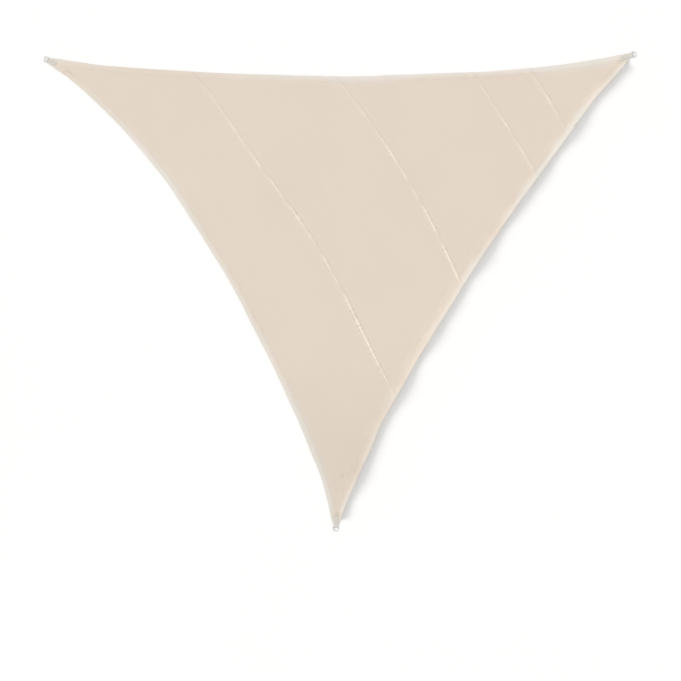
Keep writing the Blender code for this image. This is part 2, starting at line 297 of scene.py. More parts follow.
@dataclass(eq=False)
class SailPlan:
    """The sail in plan, in the part's own frame."""

    top_side: float = 3.600
    left_side: float = 3.378
    right_side: float = 3.431
    top_slope: float = radians(0.48)
    footprint_middle: tuple[float, float] = (1.799824, -1.420792)
    hem_width: float = 0.036
    lap_half: float = 0.008
    ring_depth: float = 0.023
    tab_width: float = 0.024
    tab_leg: float = 0.046
    crossing_rounds: int = 8
    # For each side: the rings it runs between, and how deep it is cut in at five stations
    cuts: dict[Hem, tuple[Ring, Ring, tuple[float, ...]]] = field(
        default_factory=lambda: {
            Hem.TOP: (Ring.LEFT, Ring.RIGHT, (-0.010, 0.083, 0.115, 0.095, -0.012)),
            Hem.LEFT: (Ring.LEFT, Ring.BOTTOM, (-0.016, 0.212, 0.240, 0.173, -0.008)),
            Hem.RIGHT: (Ring.RIGHT, Ring.BOTTOM, (-0.001, 0.096, 0.131, 0.113, -0.010)),
        }
    )
    # For each seam: its share of the top side and of the right side, and how far it bows out to
    # the right at evenly spaced stations
    seam_rows: tuple[tuple[float, float, tuple[float, ...]], ...] = (
        (0.2435, 0.7440, (0.004, 0.0425, 0.0605, 0.084, 0.0755, 0.0345, -0.002)),
        (0.4914, 0.5153, (0.0, 0.039, 0.0525, 0.039, 0.0)),
        (0.7240, 0.2770, (0.0, 0.006, 0.008, 0.006, 0.0)),
        (0.8200, 0.1830, (0.0, 0.0045, 0.006, 0.0045, 0.0)),
    )

    def __post_init__(self) -> None:
        """Works out the rings, the sides, the seams and the tips."""
        self.rings = self.ring_places()
        self.sides = {hem: self.side_line(hem) for hem in Hem}
        self.seams = [self.seam_line(row) for row in self.seam_rows]
        self.guesses = self.first_guesses()
        self.tips = {
            Ring.LEFT: self.tip(Ring.LEFT, Hem.LEFT, Hem.TOP),
            Ring.RIGHT: self.tip(Ring.RIGHT, Hem.TOP, Hem.RIGHT),
            Ring.BOTTOM: self.tip(Ring.BOTTOM, Hem.LEFT, Hem.RIGHT),
        }

    def ring_places(self) -> dict[Ring, Vector]:
        """The ring centres, from the lengths of the three sides.

        Returns:
            Each ring's centre, in the part's own frame.
        """
        middle = Vector(self.footprint_middle)
        top, left, right = self.top_side, self.left_side, self.right_side
        opening = acos((top**2 + left**2 - right**2) / (2 * top * left))
        down = self.top_slope - opening
        return {
            Ring.LEFT: -middle,
            Ring.RIGHT: top * Vector((cos(self.top_slope), sin(self.top_slope))) - middle,
            Ring.BOTTOM: left * Vector((cos(down), sin(down))) - middle,
        }

    def side_line(self, hem: Hem) -> BowedLine:
        """One side's cut edge, with offsets counted into the cloth.

        Args:
            hem: Which side.

        Returns:
            The line, from its first ring to its second.
        """
        start, end, depths = self.cuts[hem]
        third = next(place for ring, place in self.rings.items() if ring not in (start, end))
        run = self.rings[end] - self.rings[start]
        side = 1.0 if run.cross(third - self.rings[start]) > 0 else -1.0
        return BowedLine(self.rings[start], self.rings[end], depths, side)

    def seam_line(self, row: tuple[float, float, tuple[float, ...]]) -> BowedLine:
        """One seam, from the top side to the right side, with offsets counted to the right.

        Args:
            row: The seam's row of seam_rows.

        Returns:
            The line.
        """
        top_share, right_share, depths = row
        top = self.sides[Hem.TOP].at(top_share)
        return BowedLine(top, self.sides[Hem.RIGHT].at(right_share), depths, 1.0)

    def first_guesses(self) -> dict[tuple[BowedLine, BowedLine], tuple[float, float]]:
        """Where along each pair of lines the search for their crossing starts.

        Returns:
            For each pair of lines that is asked for, a share along each.
        """
        top, left, right = (self.sides[hem] for hem in (Hem.TOP, Hem.LEFT, Hem.RIGHT))
        guesses = {(left, top): (0.0, 0.0), (left, right): (1.0, 1.0), (top, right): (1.0, 0.0)}
        for seam, (top_share, right_share, _) in zip(self.seams, self.seam_rows):
            guesses[seam, top] = (0.0, top_share)
            guesses[seam, right] = (1.0, right_share)
        return guesses

    @lru_cache(maxsize=None)
    def crossing(
        self, first: BowedLine, first_offset: float, second: BowedLine, second_offset: float
    ) -> tuple[float, float, Vector]:
        """Finds where two lines cross, each moved sideways by its offset.

        Args:
            first: One line.
            first_offset: Its offset.
            second: The other line.
            second_offset: Its offset.

        Returns:
            The shares along the two lines, and the point.
        """
        a, b = self.guesses[first, second]
        step = BowedLine.SLOPE_STEP
        for _ in range(self.crossing_rounds):
            miss = second.at(b, second_offset) - first.at(a, first_offset)
            run_a = first.at(a + step, first_offset) - first.at(a - step, first_offset)
            run_b = second.at(b + step, second_offset) - second.at(b - step, second_offset)
            span = run_a.cross(run_b) / (2 * step)
            a += miss.cross(run_b) / span
            b += miss.cross(run_a) / span
        return a, b, first.at(a, first_offset)

    def tip(self, ring: Ring, first: Hem, second: Hem) -> Tip:
        """The tip at a ring, cut where each hem's inner line meets the other side.

        Args:
            ring: The ring.
            first: One of the two sides that meet there.
            second: The other.

        Returns:
            The tip.
        """
        one, other = self.sides[first], self.sides[second]
        cut_a = self.crossing(one, self.hem_width, other, 0.0)[2]
        cut_b = self.crossing(one, 0.0, other, self.hem_width)[2]
        return Tip(self.rings[ring], (cut_a + cut_b) / 2, self.ring_depth)

    def spot(self, point: Vector) -> Spot:
        """Measures a point from the sides, the seams and the rings.

        Args:
            point: A point in plan.

        Returns:
            The spot.
        """
        seams = []
        for seam in self.seams:
            share, offset = seam.locate(point)
            seams.append((share * seam.length, offset))
        return Spot(
            point=point,
            hems={hem: side.locate(point) for hem, side in self.sides.items()},
            seams=tuple(seams),
            tab_distance=self.tab_distance(point),
        )

    def tab_distance(self, point: Vector) -> float:
        """How far a point lies outside the footprint of the nearest tab.

        Args:
            point: A point in plan.

        Returns:
            The distance, which is 0 under the tab.
        """
        tip = min(self.tips.values(), key=lambda tip: (point - tip.ring).length)
        away = point - tip.middle
        beside = max(0.0, abs(away.dot(tip.lateral)) - self.tab_width / 2)
        beyond = max(0.0, -away.dot(tip.out) - self.tab_leg)
        return Vector((beside, beyond)).length


@dataclass(frozen=True)
class Crease:
    """A short soft ridge that was pressed into the cloth, with painted shade along it."""

    start: tuple[float, float]
    end: tuple[float, float]
    height: float
    half_width: float
    # How much painted shade lies along the crease
    painted_crease_shade: float

    def share_at(self, point: Vector) -> float:
        """How much of the crease a point has, from 0 beside it to 1 on its middle.

        Args:
            point: A point in plan.

        Returns:
            The share.
        """
        start, end = Vector(self.start), Vector(self.end)
        run = end - start
        share = min(max((point - start).dot(run) / run.length_squared, 0.0), 1.0)
        away = (point - start - run * share).length / self.half_width
        return max(0.0, sin(pi * share)) ** 0.5 * exp(-away * away)


@dataclass(frozen=True)
class HemBand:
    """The pale band of doubled cloth along a hem, uneven as sewn by hand, partly a painted
    highlight along its fold.

    Three rows are read at even stations from the side's first ring to its second: how pale the
    band is, how wide as a share of its tones' reach, and how many millimetres its edge is drawn in.
    """

    # How pale the cloth looks, by the distance in from the fold: doubled cloth and a painted
    # highlight
    tones: tuple[tuple[float, float], ...]
    pale: tuple[float, ...]
    width: tuple[float, ...]
    drawn_in: tuple[float, ...]
    # How much the width changes over a broad and a small grain, and between which bounds
    change: float = 0.25
    grains: tuple[float, float] = (0.21, 0.047)
    grain_shares: tuple[float, float] = (0.9, 0.6)
    grain_seed: float = 0.3
    narrowest: float = 0.4
    widest: float = 2.0
    # How far in the cloth is drawn with the hem's edge
    reach: float = 0.085

    def tone(self, number: int, share: float, inset: float, length: float) -> float:
        """How pale a spot is because of this hem.

        Args:
            number: The hem's own number, which makes its grain its own.
            share: The spot's share of the way along the side.
            inset: Its distance in.
            length: The side's length.

        Returns:
            From 0 to 1 or a little more.
        """
        if inset > self.widest * self.tones[-1][0]:
            return 0.0
        uneven = sum(
            part * noise.noise(Vector((share * length / grain, number, self.grain_seed)))
            for part, grain in zip(self.grain_shares, self.grains)
        )
        wide = evenly(self.width, share) * max(self.narrowest, 1.0 + self.change * uneven)
        return evenly(self.pale, share) * between(self.tones, inset / wide, 1)

    def shift(self, share: float, inset: float) -> float:
        """How far a spot is drawn in with the hem's edge, by its share along and distance in."""
        return evenly(self.drawn_in, share) * MILLIMETRE * falling(inset, self.reach)


# Paleness across a flat hem by distance in from its fold: doubled cloth and a painted highlight
# along the fold
FLAT_TONES = (
    (0.000, 1.00),
    (0.012, 0.95),
    (0.018, 0.80),
    (0.024, 0.65),
    (0.030, 0.48),
    (0.036, 0.38),
    (0.042, 0.24),
    (0.060, 0.06),
    (0.084, 0.00),
)
# Paleness across the curled right hem by distance in: doubled cloth and a painted highlight where
# it rises
CURL_TONES = (
    (0.000, 1.00),
    (0.018, 0.95),
    (0.025, 0.80),
    (0.032, 0.45),
    (0.040, 0.12),
    (0.050, 0.00),
)
BANDS = {
    Hem.TOP: HemBand(
        FLAT_TONES,
        pale=(
            0.5, 0.5, 0.3, 0.1, 0.1, 0.3, 0.4, 0.6, 0.7, 0.8, 0.9,
            0.95, 1.0, 1.0, 1.0, 0.95, 1.1, 1.25, 1.3, 1.3, 0.6,
        ),
        width=(
            0.6, 0.8, 0.8, 0.8, 0.8, 0.7, 0.9, 1.1, 1.0, 0.9, 1.0,
            1.0, 0.9, 0.55, 0.5, 0.5, 0.7, 1.0, 1.15, 1.15, 0.5,
        ),
        drawn_in=(
            0, 2, 6.5, 4.5, 1.5, 2.5, 2, 3, 2, 5, 6.5,
            6, -0.5, -1, 1, 4.5, 5.5, 5, 5.5, 2.5, 0,
        ),
    ),
    Hem.LEFT: HemBand(
        FLAT_TONES,
        pale=(
            0.4, 0.4, 0.45, 0.6, 0.85, 1.0, 1.15, 1.0, 0.85, 0.75, 0.85,
            0.85, 0.8, 0.85, 0.85, 0.95, 1.1, 1.05, 1.0, 1.0, 0.6,
        ),
        width=(
            0.5, 0.6, 0.8, 0.9, 1.1, 1.0, 1.0, 1.0, 0.75, 0.9, 0.8,
            0.7, 0.8, 1.0, 0.8, 1.0, 1.2, 1.2, 1.2, 0.9, 0.5,
        ),
        drawn_in=(
            0, 2, 1, 0, 0, 2.5, 5, 3.5, 0, 1, 7,
            4, 0, 0, 0.5, 1.5, 3, 5, 12, 5.5, 0,
        ),
    ),
    Hem.RIGHT: HemBand(
        CURL_TONES,
        pale=(
            0.6, 0.75, 0.55, 1.0, 1.1, 1.15, 0.9, 0.75, 0.25, 0.8, 0.75,
            0.65, 0.65, 0.25, 0.4, 0.5, 0.3, 0.55, 0.4, 0.7, 0.4,
        ),
        width=(
            0.5, 0.8, 0.65, 1.3, 1.2, 0.75, 1.0, 0.9, 0.7, 0.8, 0.8,
            0.7, 0.9, 0.7, 0.75, 1.25, 0.9, 0.75, 0.65, 0.7, 0.5,
        ),
        drawn_in=(
            0, 0, 8, 2.5, -3.5, -5, -3.5, 0, 0.5, 1.5, 1,
            -3, -2, 1, -0.5, 1.5, 6.5, -6, -3.5, 0, 0,
        ),
        change=0.45,
    ),
}


@dataclass(eq=False)
class ClothLay:
    """How the cloth lies: flat on the floor, its right hem curled up, puckered where sewn."""

    plan: SailPlan
    bands: dict[Hem, HemBand] = field(default_factory=lambda: BANDS)
    drawn_from: float = 0.100
    curl_height: float = 0.043
    curl_reach: float = 0.050
    curl_starts_at: float = 0.056
    curl_full_from: float = 0.090
    curl_waves: tuple[tuple[float, float, float], ...] = ((7.0, 0.16, 0.6), (11.0, 0.10, 2.1))
    # Painted shade across the curled hem, darkest at its edge and at its foot: distance in, share
    painted_curl_shades: tuple[tuple[float, float], ...] = (
        (0.000, 0.62),
        (0.006, 0.46),
        (0.012, 0.30),
        (0.018, 0.34),
        (0.024, 0.56),
        (0.031, 0.60),
        (0.037, 0.50),
        (0.044, 0.30),
        (0.058, 0.00),
    )
    # How strong that painted shade is at evenly spaced stations from the right ring to the bottom
    # ring
    shade_strengths: tuple[float, ...] = (
        1.0, 1.0, 0.35, 0.7, 1.0, 1.0, 1.0, 0.9, 0.9, 1.0, 0.9, 0.6, 0.5, 0.5, 0.7, 1.0, 1.0, 1.1,
        1.1, 1.1, 1.0,
    )
    shade_change: float = 0.9
    shade_grain: float = 0.13
    shade_seed: tuple[float, float] = (4.0, 0.9)
    # Ripples of the two flat hems: height at the edge, reach, waves over the side, phase
    ripples: dict[Hem, tuple[float, float, float, float]] = field(
        default_factory=lambda: {
            Hem.TOP: (0.0026, 0.100, 9.0, 0.4),
            Hem.LEFT: (0.0034, 0.100, 8.0, 1.9),
        }
    )
    # Low swells: shares of the way to the right and bottom rings, half length, half width,
    # turn, height
    swells: tuple[tuple[float, ...], ...] = (
        (0.26, 0.22, 0.42, 0.26, radians(-38), 0.006),
        (0.20, 0.55, 0.40, 0.20, radians(-58), 0.005),
        (0.47, 0.22, 0.36, 0.24, radians(-52), 0.005),
    )
    # Under a tab the cloth lies low, and a little way off it is free
    tip_lift: float = 0.0019
    held_to: float = 0.003
    free_from: float = 0.022
    ridge_height: float = 0.0005
    ridge_half: float = 0.016
    # How strongly each seam shows, from the top side down at even stations, and its stretches
    seam_strengths: tuple[tuple[float, ...], ...] = (
        (0.02, 0.46, 0.75, 0.82, 0.35),
        (0.08, 0.42, 0.66, 0.66, 0.72),
        (0.15, 0.25, 0.50, 0.50, 0.35),
        (0.15, 0.25, 0.55, 0.55, 0.30),
    )
    stretch_grain: float = 0.085
    stretch_change: float = 1.60
    stretch_seed: tuple[float, float] = (3.0, 0.5)
    # Tucks beside the seams' stitching: height, the most of it, grain along and away, slant, how
    # unlike the two sides are, where highest, reach, and after how many reaches they end
    tuck_height: float = 0.0036
    tuck_most: float = 0.70
    tuck_grain: tuple[float, float] = (0.0115, 0.030)
    tuck_slant: float = 0.35
    tuck_other_side: float = 0.25
    tuck_top: float = 0.0085
    tuck_reach: float = 0.0075
    tuck_end: float = 3.0
    # Painted shade in the hollows between tucks: how strongly it grows with their depth, and from
    # what depth
    hollow_shade_gain: float = 4.5
    hollow_shade_level: float = 0.10
    seam_calm_from: float = 0.020
    seam_full_from: float = 0.050
    # Puckers beside each hem: height, grain along it, grain across it, reach from its stitching
    hem_puckers: dict[Hem, tuple[float, float, float, float]] = field(
        default_factory=lambda: {
            Hem.TOP: (0.0016, 0.042, 0.020, 0.020),
            Hem.LEFT: (0.0016, 0.040, 0.018, 0.018),
            Hem.RIGHT: (0.0046, 0.052, 0.024, 0.026),
        }
    )
    hem_stitching: float = 0.031
    pucker_end: float = 4.0
    pucker_lean: float = 0.06
    pucker_level: float = 0.55
    pucker_seed: float = 7.0
    # The whole cloth lies a little off the floor here and there: height, grain, level, seed
    drift_height: float = 0.0012
    drift_grain: float = 0.26
    drift_level: float = 0.5
    drift_seed: float = 5.0
    # Creases: start, end, height, half width, and how much painted shade lies along each
    creases: tuple[Crease, ...] = (
        Crease((-1.700, 1.331), (-1.658, 1.357), 0.0010, 0.0045, 1.0),
        Crease((-1.668, 1.353), (-1.634, 1.318), 0.0025, 0.005, 0.7),
        Crease((-0.001, -1.126), (0.030, -1.126), 0.0020, 0.005, 1.0),
    )
    crease_surround: float = 0.030

    def curl(self, share: float) -> float:
        """Height of the curled right edge at a share along it.

        Args:
            share: The share of the way along the right side.

        Returns:
            The height, which is 0 near the rings.
        """
        along = min(share, 1.0 - share) * self.plan.right_side
        waves = sum(
            size * sin(tau * count * share + phase) for count, size, phase in self.curl_waves
        )
        grown = smooth_step(self.curl_starts_at, self.curl_full_from, along)
        return self.curl_height * (1.0 + waves) * grown

    def painted_curl_shade(self, spot: Spot) -> float:
        """How much painted shade a spot gets because the hem curls there, from 0 to 1 or a little
        more.

        Args:
            spot: The spot, measured on the plan.

        Returns:
            The shade.
        """
        share, inset = spot.hems[Hem.RIGHT]
        if inset > self.painted_curl_shades[-1][0]:
            return 0.0
        place = Vector((share * self.plan.right_side / self.shade_grain, *self.shade_seed))
        uneven = 1.0 + self.shade_change * noise.noise(place)
        uneven *= evenly(self.shade_strengths, share)
        return uneven * self.curl(share) / self.curl_height * between(self.painted_curl_shades, inset, 1)

    def swell(self, point: Vector) -> float:
        """Height of the low swells at a point.

        Args:
            point: A point in plan.

        Returns:
            The height.
        """
        rings = self.plan.rings
        total = 0.0
        for to_right, to_bottom, half_length, half_width, turn, height in self.swells:
            left = rings[Ring.LEFT]
            middle = left + (rings[Ring.RIGHT] - left) * to_right
            middle = middle + (rings[Ring.BOTTOM] - left) * to_bottom
            away = Matrix.Rotation(-turn, 2) @ (point - middle)
            reach = Vector((away.x / half_length, away.y / half_width)).length
            total += height * (1.0 - smooth_step(0.0, 1.0, reach))
        return total

    def seam_strength(self, number: int, along: float) -> float:
        """How strongly a seam shows at a distance along it.

        Args:
            number: The seam's own number.
            along: The distance along it.

        Returns:
            From 0 to 1 or a little more.
        """
        steady = evenly(self.seam_strengths[number], along / self.plan.seams[number].length)
        seed, level = self.stretch_seed
        stretch = noise.noise(Vector((along / self.stretch_grain, seed + number, level)))
        return max(0.0, steady * (1.0 + self.stretch_change * stretch))

    def puckering(self, number: int, along: float, offset: float) -> float:
        """Puckering beside a seam's stitching: above 0 in a tuck, below 0 in a hollow.

        Args:
            number: The seam's own number.
            along: The distance along it.
            offset: The distance beside it, above 0 on the right.

        Returns:
            The puckering, from about -1 to 1.
        """
        away = abs(offset)
        grain_along, grain_away = self.tuck_grain
        side = self.tuck_other_side if offset > 0 else 0.0
        slanted = (along + self.tuck_slant * away) / grain_along
        wave = noise.noise(Vector((slanted, away / grain_away + side, number)))
        fade = exp(-(((away - self.tuck_top) / self.tuck_reach) ** 2))
        return wave * fade * min(self.tuck_most, self.seam_strength(number, along))

    def near_seams(self, spot: Spot) -> list[tuple[int, float, float]]:
        """The seams that shape the cloth at a spot: number, distance along and offset.

        Args:
            spot: The spot, measured on the plan.

        Returns:
            A row for each seam that is near enough.
        """
        reach = self.tuck_top + self.tuck_end * self.tuck_reach
        rows = enumerate(spot.seams)
        return [(number, along, off) for number, (along, off) in rows if abs(off) < reach]

    def seam_relief(self, spot: Spot) -> float:
        """Height of the seams' ridges and of the tucks beside them.

        Args:
            spot: The spot, measured on the plan.

        Returns:
            The height.
        """
        total = 0.0
        for number, along, offset in self.near_seams(spot):
            ridge = 1.0 - min(1.0, abs(offset) / self.ridge_half) ** 2
            total += self.ridge_height * ridge * ridge
            total += self.tuck_height * max(0.0, self.puckering(number, along, offset))
        return total * smooth_step(self.seam_calm_from, self.seam_full_from, spot.inset)

    def hollow(self, spot: Spot) -> float:
        """How much painted shade a spot gets in a crease, between tucks and on the curl, from 0 to
        1.

        Args:
            spot: The spot, measured on the plan.

        Returns:
            The painted shade.
        """
        waves = (self.puckering(*seam) for seam in self.near_seams(spot))
        deep = self.hollow_shade_gain * sum(max(0.0, -wave - self.hollow_shade_level) for wave in waves)
        deep *= smooth_step(self.seam_calm_from, self.seam_full_from, spot.inset)
        deep += sum(crease.painted_crease_shade * crease.share_at(spot.point) for crease in self.creases)
        return min(1.0, deep + self.painted_curl_shade(spot))

    def creased(self, point: Vector) -> bool:
        """Whether a point lies near a crease, where the sheet needs a finer mesh."""
        middles = ((Vector(crease.start) + Vector(crease.end)) / 2 for crease in self.creases)
        return any((point - middle).length < self.crease_surround for middle in middles)

    def hem_relief(self, spot: Spot) -> float:
        """Height of the puckers that the hems' stitching draws into the cloth.

        Args:
            spot: The spot, measured on the plan.

        Returns:
            The height, which is below 0 in a hollow.
        """
        total = 0.0
        for number, (hem, (height, along_grain, across_grain, reach)) in enumerate(
            self.hem_puckers.items()
        ):
            share, inset = spot.hems[hem]
            away = inset - self.hem_stitching
            if abs(away) > self.pucker_end * reach:
                continue
            along = share * self.plan.sides[hem].length
            slanted = along / along_grain - away / self.pucker_lean
            place = Vector((slanted, away / across_grain, self.pucker_seed + number))
            fade = exp(-((away / reach) ** 2))
            total += height * fade * (self.pucker_level + noise.noise(place))
        return total

    def height(self, spot: Spot) -> float:
        """Height of the cloth's underside above the floor.

        Args:
            spot: The spot, measured on the plan.

        Returns:
            The height.
        """
        share, inset = spot.hems[Hem.RIGHT]
        height = self.swell(spot.point) + self.curl(share) * falling(inset, self.curl_reach) ** 2
        for hem, (rise, reach, waves, phase) in self.ripples.items():
            share, inset = spot.hems[hem]
            wave = 0.5 + 0.5 * sin(tau * waves * share + phase)
            height += rise * wave * falling(inset, reach) ** 2
        place = Vector((*spot.point, self.drift_seed)) / self.drift_grain
        height += self.drift_height * max(0.0, self.drift_level + noise.noise(place))
        height += sum(crease.height * crease.share_at(spot.point) for crease in self.creases)
        height += max(0.0, self.seam_relief(spot) + self.hem_relief(spot))
        held = self.held(spot)
        return height * (1.0 - held) + self.tip_lift * held

    def held(self, spot: Spot) -> float:
        """How firmly a corner's tab holds the cloth at a spot, from 0 to 1."""
        return 1.0 - smooth_step(self.held_to, self.free_from, spot.tab_distance)

    def hem_paleness_and_highlight(self, spot: Spot) -> float:
        """How pale a spot is because the cloth is doubled or pulled there, partly a painted
        highlight.

        Args:
            spot: The spot, measured on the plan.

        Returns:
            From 0 to 1 or a little more.
        """
        return max(
            band.tone(number, *spot.hems[hem], self.plan.sides[hem].length)
            for number, (hem, band) in enumerate(self.bands.items())
        )

    def drawn(self, spot: Spot) -> Vector:
        """Where a spot lies in plan once the hems' edges have been drawn in.

        Args:
            spot: The spot, measured on the plan.

        Returns:
            The place in plan.
        """
        move = Vector((0.0, 0.0))
        for hem, band in self.bands.items():
            share, inset = spot.hems[hem]
            side = self.plan.sides[hem]
            move += side.turned(side.heading(share)) * band.shift(share, inset)
        return spot.point + move * smooth_step(self.held_to, self.drawn_from, spot.tab_distance)


class Bench:
    """Adds nodes to one node tree and links them."""

    # The sockets of a Mix node that hold its two colours and the mixed one
    MIX_COLORS = (6, 7)
    MIXED = 2

    def __init__(self, tree: bpy.types.NodeTree) -> None:
        """Takes the tree to work in."""
        self.tree = tree

    def add(self, kind: str, **settings: Any) -> bpy.types.Node:
        """A new node of a kind, with its own settings.

        Args:
            kind: The node's type.
            settings: Its own properties.

        Returns:
            The node.
        """
        node = self.tree.nodes.new(kind)
        for name, value in settings.items():
            setattr(node, name, value)
        return node

    def feed(self, socket: Socket, value: Any) -> None:
        """Gives an input socket a link or a plain value.

        Args:
            socket: The input to feed.
            value: An output to link it to, or a value.
        """
        if isinstance(value, Socket):
            self.tree.links.new(value, socket)
        else:
            socket.default_value = value

    def math(self, operation: str, first: Any, second: Any = 0.0) -> Socket:
        """The result of a sum on two numbers or sockets.

        Args:
            operation: The sum's name.
            first: A number or a socket.
            second: Another.

        Returns:
            The result.
        """
        node = self.add("ShaderNodeMath", operation=operation)
        self.feed(node.inputs[0], first)
        self.feed(node.inputs[1], second)
        return node.outputs[0]

    def group(self, tree: bpy.types.NodeTree, **values: Any) -> bpy.types.Node:
        """A placed shader group with its own input values.

        Args:
            tree: The group.
            values: Its inputs, by their names with _ for a space.

        Returns:
            The node.
        """
        node = self.add("ShaderNodeGroup")
        node.node_tree = tree
        for name, value in values.items():
            self.feed(node.inputs[name.replace("_", " ")], value)
        return node

    def noise(self, vector: Any, scale: float, detail: float = 2.0) -> Socket:
        """A soft noise over coordinates, from 0 to 1.

        Args:
            vector: The coordinates.
            scale: About how many patches lie along a metre.
            detail: How many finer layers it has.

        Returns:
            The noise.
        """
        node = self.add("ShaderNodeTexNoise")
        self.feed(node.inputs["Vector"], vector)
        node.inputs["Scale"].default_value = scale
        node.inputs["Detail"].default_value = detail
        return node.outputs[0]

    def span(
        self, value: Any, low: float, high: float, start: float = 0.0, end: float = 1.0
    ) -> Socket:
        """Spreads a value that runs from start to end over low to high.

        Args:
            value: The value.
            low: What start becomes.
            high: What end becomes.
            start: The value's lower bound.
            end: Its upper bound.

        Returns:
            The spread value, held between low and high.
        """
        node = self.add("ShaderNodeMapRange")
        self.feed(node.inputs["Value"], value)
        node.inputs["From Min"].default_value = start
        node.inputs["From Max"].default_value = end
        node.inputs["To Min"].default_value = low
        node.inputs["To Max"].default_value = high
        return node.outputs[0]

    def patchy(self, vector: Any, scale: float, low: float, high: float) -> Socket:
        """A soft noise over coordinates, from low to high."""
        return self.span(self.noise(vector, scale), low, high)

    def limited(self, value: Any) -> Socket:
        """A value held between 0 and 1."""
        return self.math("MINIMUM", self.math("MAXIMUM", value, 0.0), 1.0)

    def tinted(self, color: Any, factor: Any) -> Socket:
        """A colour made darker or lighter by a factor.

        Args:
            color: A colour or its socket.
            factor: A number or a socket.

        Returns:
            The tinted colour.
        """
        node = self.add("ShaderNodeVectorMath", operation="SCALE")
        self.feed(node.inputs[0], color)
        self.feed(node.inputs["Scale"], factor)
        return node.outputs[0]

    def blend(self, factor: Any, first: Any, second: Any) -> Socket:
        """Mixes two colours.

        Args:
            factor: The second colour's share.
            first: A colour or its socket.
            second: Another.

        Returns:
            The mixed colour.
        """
        node = self.add("ShaderNodeMix", data_type="RGBA")
        self.feed(node.inputs[0], factor)
        for place, color in zip(self.MIX_COLORS, (first, second)):
            self.feed(node.inputs[place], (*color, 1.0) if isinstance(color, tuple) else color)
        return node.outputs[self.MIXED]


class Effects:
    """The shader groups that several finishes share, each made once."""

    # Scale and detail of the two noises of uneven colour, and the middle of any noise
    PATCH_NOISE = (2.6, 3.0)
    SPECK_NOISE = (160.0, 4.0)
    NOISE_MIDDLE = 0.5

    def __init__(self) -> None:
        """Makes the groups."""
        self.woven = self.make_woven()
        self.uneven = self.make_uneven()

    @staticmethod
    def opened(
        name: str, inputs: Iterable[tuple[str, str]], outputs: Iterable[tuple[str, str]]
    ) -> tuple[Bench, bpy.types.Node, bpy.types.Node]:
        """Starts a group.

        Args:
            name: The group's name.
            inputs: Name and type of each input.
            outputs: Name and type of each output.

        Returns:
            A bench on the group's tree, and its input and output nodes.
        """
        tree = bpy.data.node_groups.new(name, "ShaderNodeTree")
        for way, sockets in (("INPUT", inputs), ("OUTPUT", outputs)):
            for label, kind in sockets:
                tree.interface.new_socket(name=label, in_out=way, socket_type=kind)
        bench = Bench(tree)
        return bench, bench.add("NodeGroupInput"), bench.add("NodeGroupOutput")

    def make_woven(self) -> bpy.types.NodeTree:
        """Plain weave: threads that pass over and under each other, with gaps between them.

        Returns:
            The group, whose Height is that of the threads and whose Gap is 1 between them.
        """
        bench, given, result = self.opened(
            "woven threads",
            (("Coordinates", "NodeSocketVector"), ("Pitch", "NodeSocketFloat")),
            (("Height", "NodeSocketFloat"), ("Gap", "NodeSocketFloat")),
        )
        counts = bench.math("DIVIDE", 1.0, given.outputs["Pitch"])
        scaled = bench.tinted(given.outputs["Coordinates"], counts)
        split = bench.add("ShaderNodeSeparateXYZ")
        bench.feed(split.inputs[0], scaled)
        crowns = []
        for axis in (0, 1):
            angle = bench.math("MULTIPLY", split.outputs[axis], pi)
            crowns.append(bench.math("ABSOLUTE", bench.math("SINE", angle)))
        cells = bench.math(
            "ADD",
            bench.math("FLOOR", split.outputs[0]),
            bench.math("FLOOR", split.outputs[1]),
        )
        over = bench.math("PINGPONG", cells, 1.0)
        under = bench.math("SUBTRACT", 1.0, over)
        height = bench.math(
            "ADD", bench.math("MULTIPLY", crowns[0], over), bench.math("MULTIPLY", crowns[1], under)
        )
        gap = bench.math("SUBTRACT", 1.0, bench.math("MULTIPLY", crowns[0], crowns[1]))
        bench.feed(result.inputs["Height"], height)
        bench.feed(result.inputs["Gap"], gap)
        return bench.tree

    def make_uneven(self) -> bpy.types.NodeTree:
        """Uneven colour: broad soft patches and fine specks round a plain colour.

        Returns:
            The group.
        """
        bench, given, result = self.opened(
            "uneven colour",
            (
                ("Coordinates", "NodeSocketVector"),
                ("Color", "NodeSocketColor"),
                ("Patches", "NodeSocketFloat"),
                ("Specks", "NodeSocketFloat"),
            ),
            (("Color", "NodeSocketColor"),),
        )
        shades = []
        for strength, settings in (("Patches", self.PATCH_NOISE), ("Specks", self.SPECK_NOISE)):
            whole = bench.noise(given.outputs["Coordinates"], *settings)
            centred = bench.math("SUBTRACT", whole, self.NOISE_MIDDLE)
            shades.append(bench.math("MULTIPLY", centred, given.outputs[strength]))
        factor = bench.math("ADD", 1.0, bench.math("ADD", *shades))
        bench.feed(result.inputs["Color"], bench.tinted(given.outputs["Color"], factor))
        return bench.tree


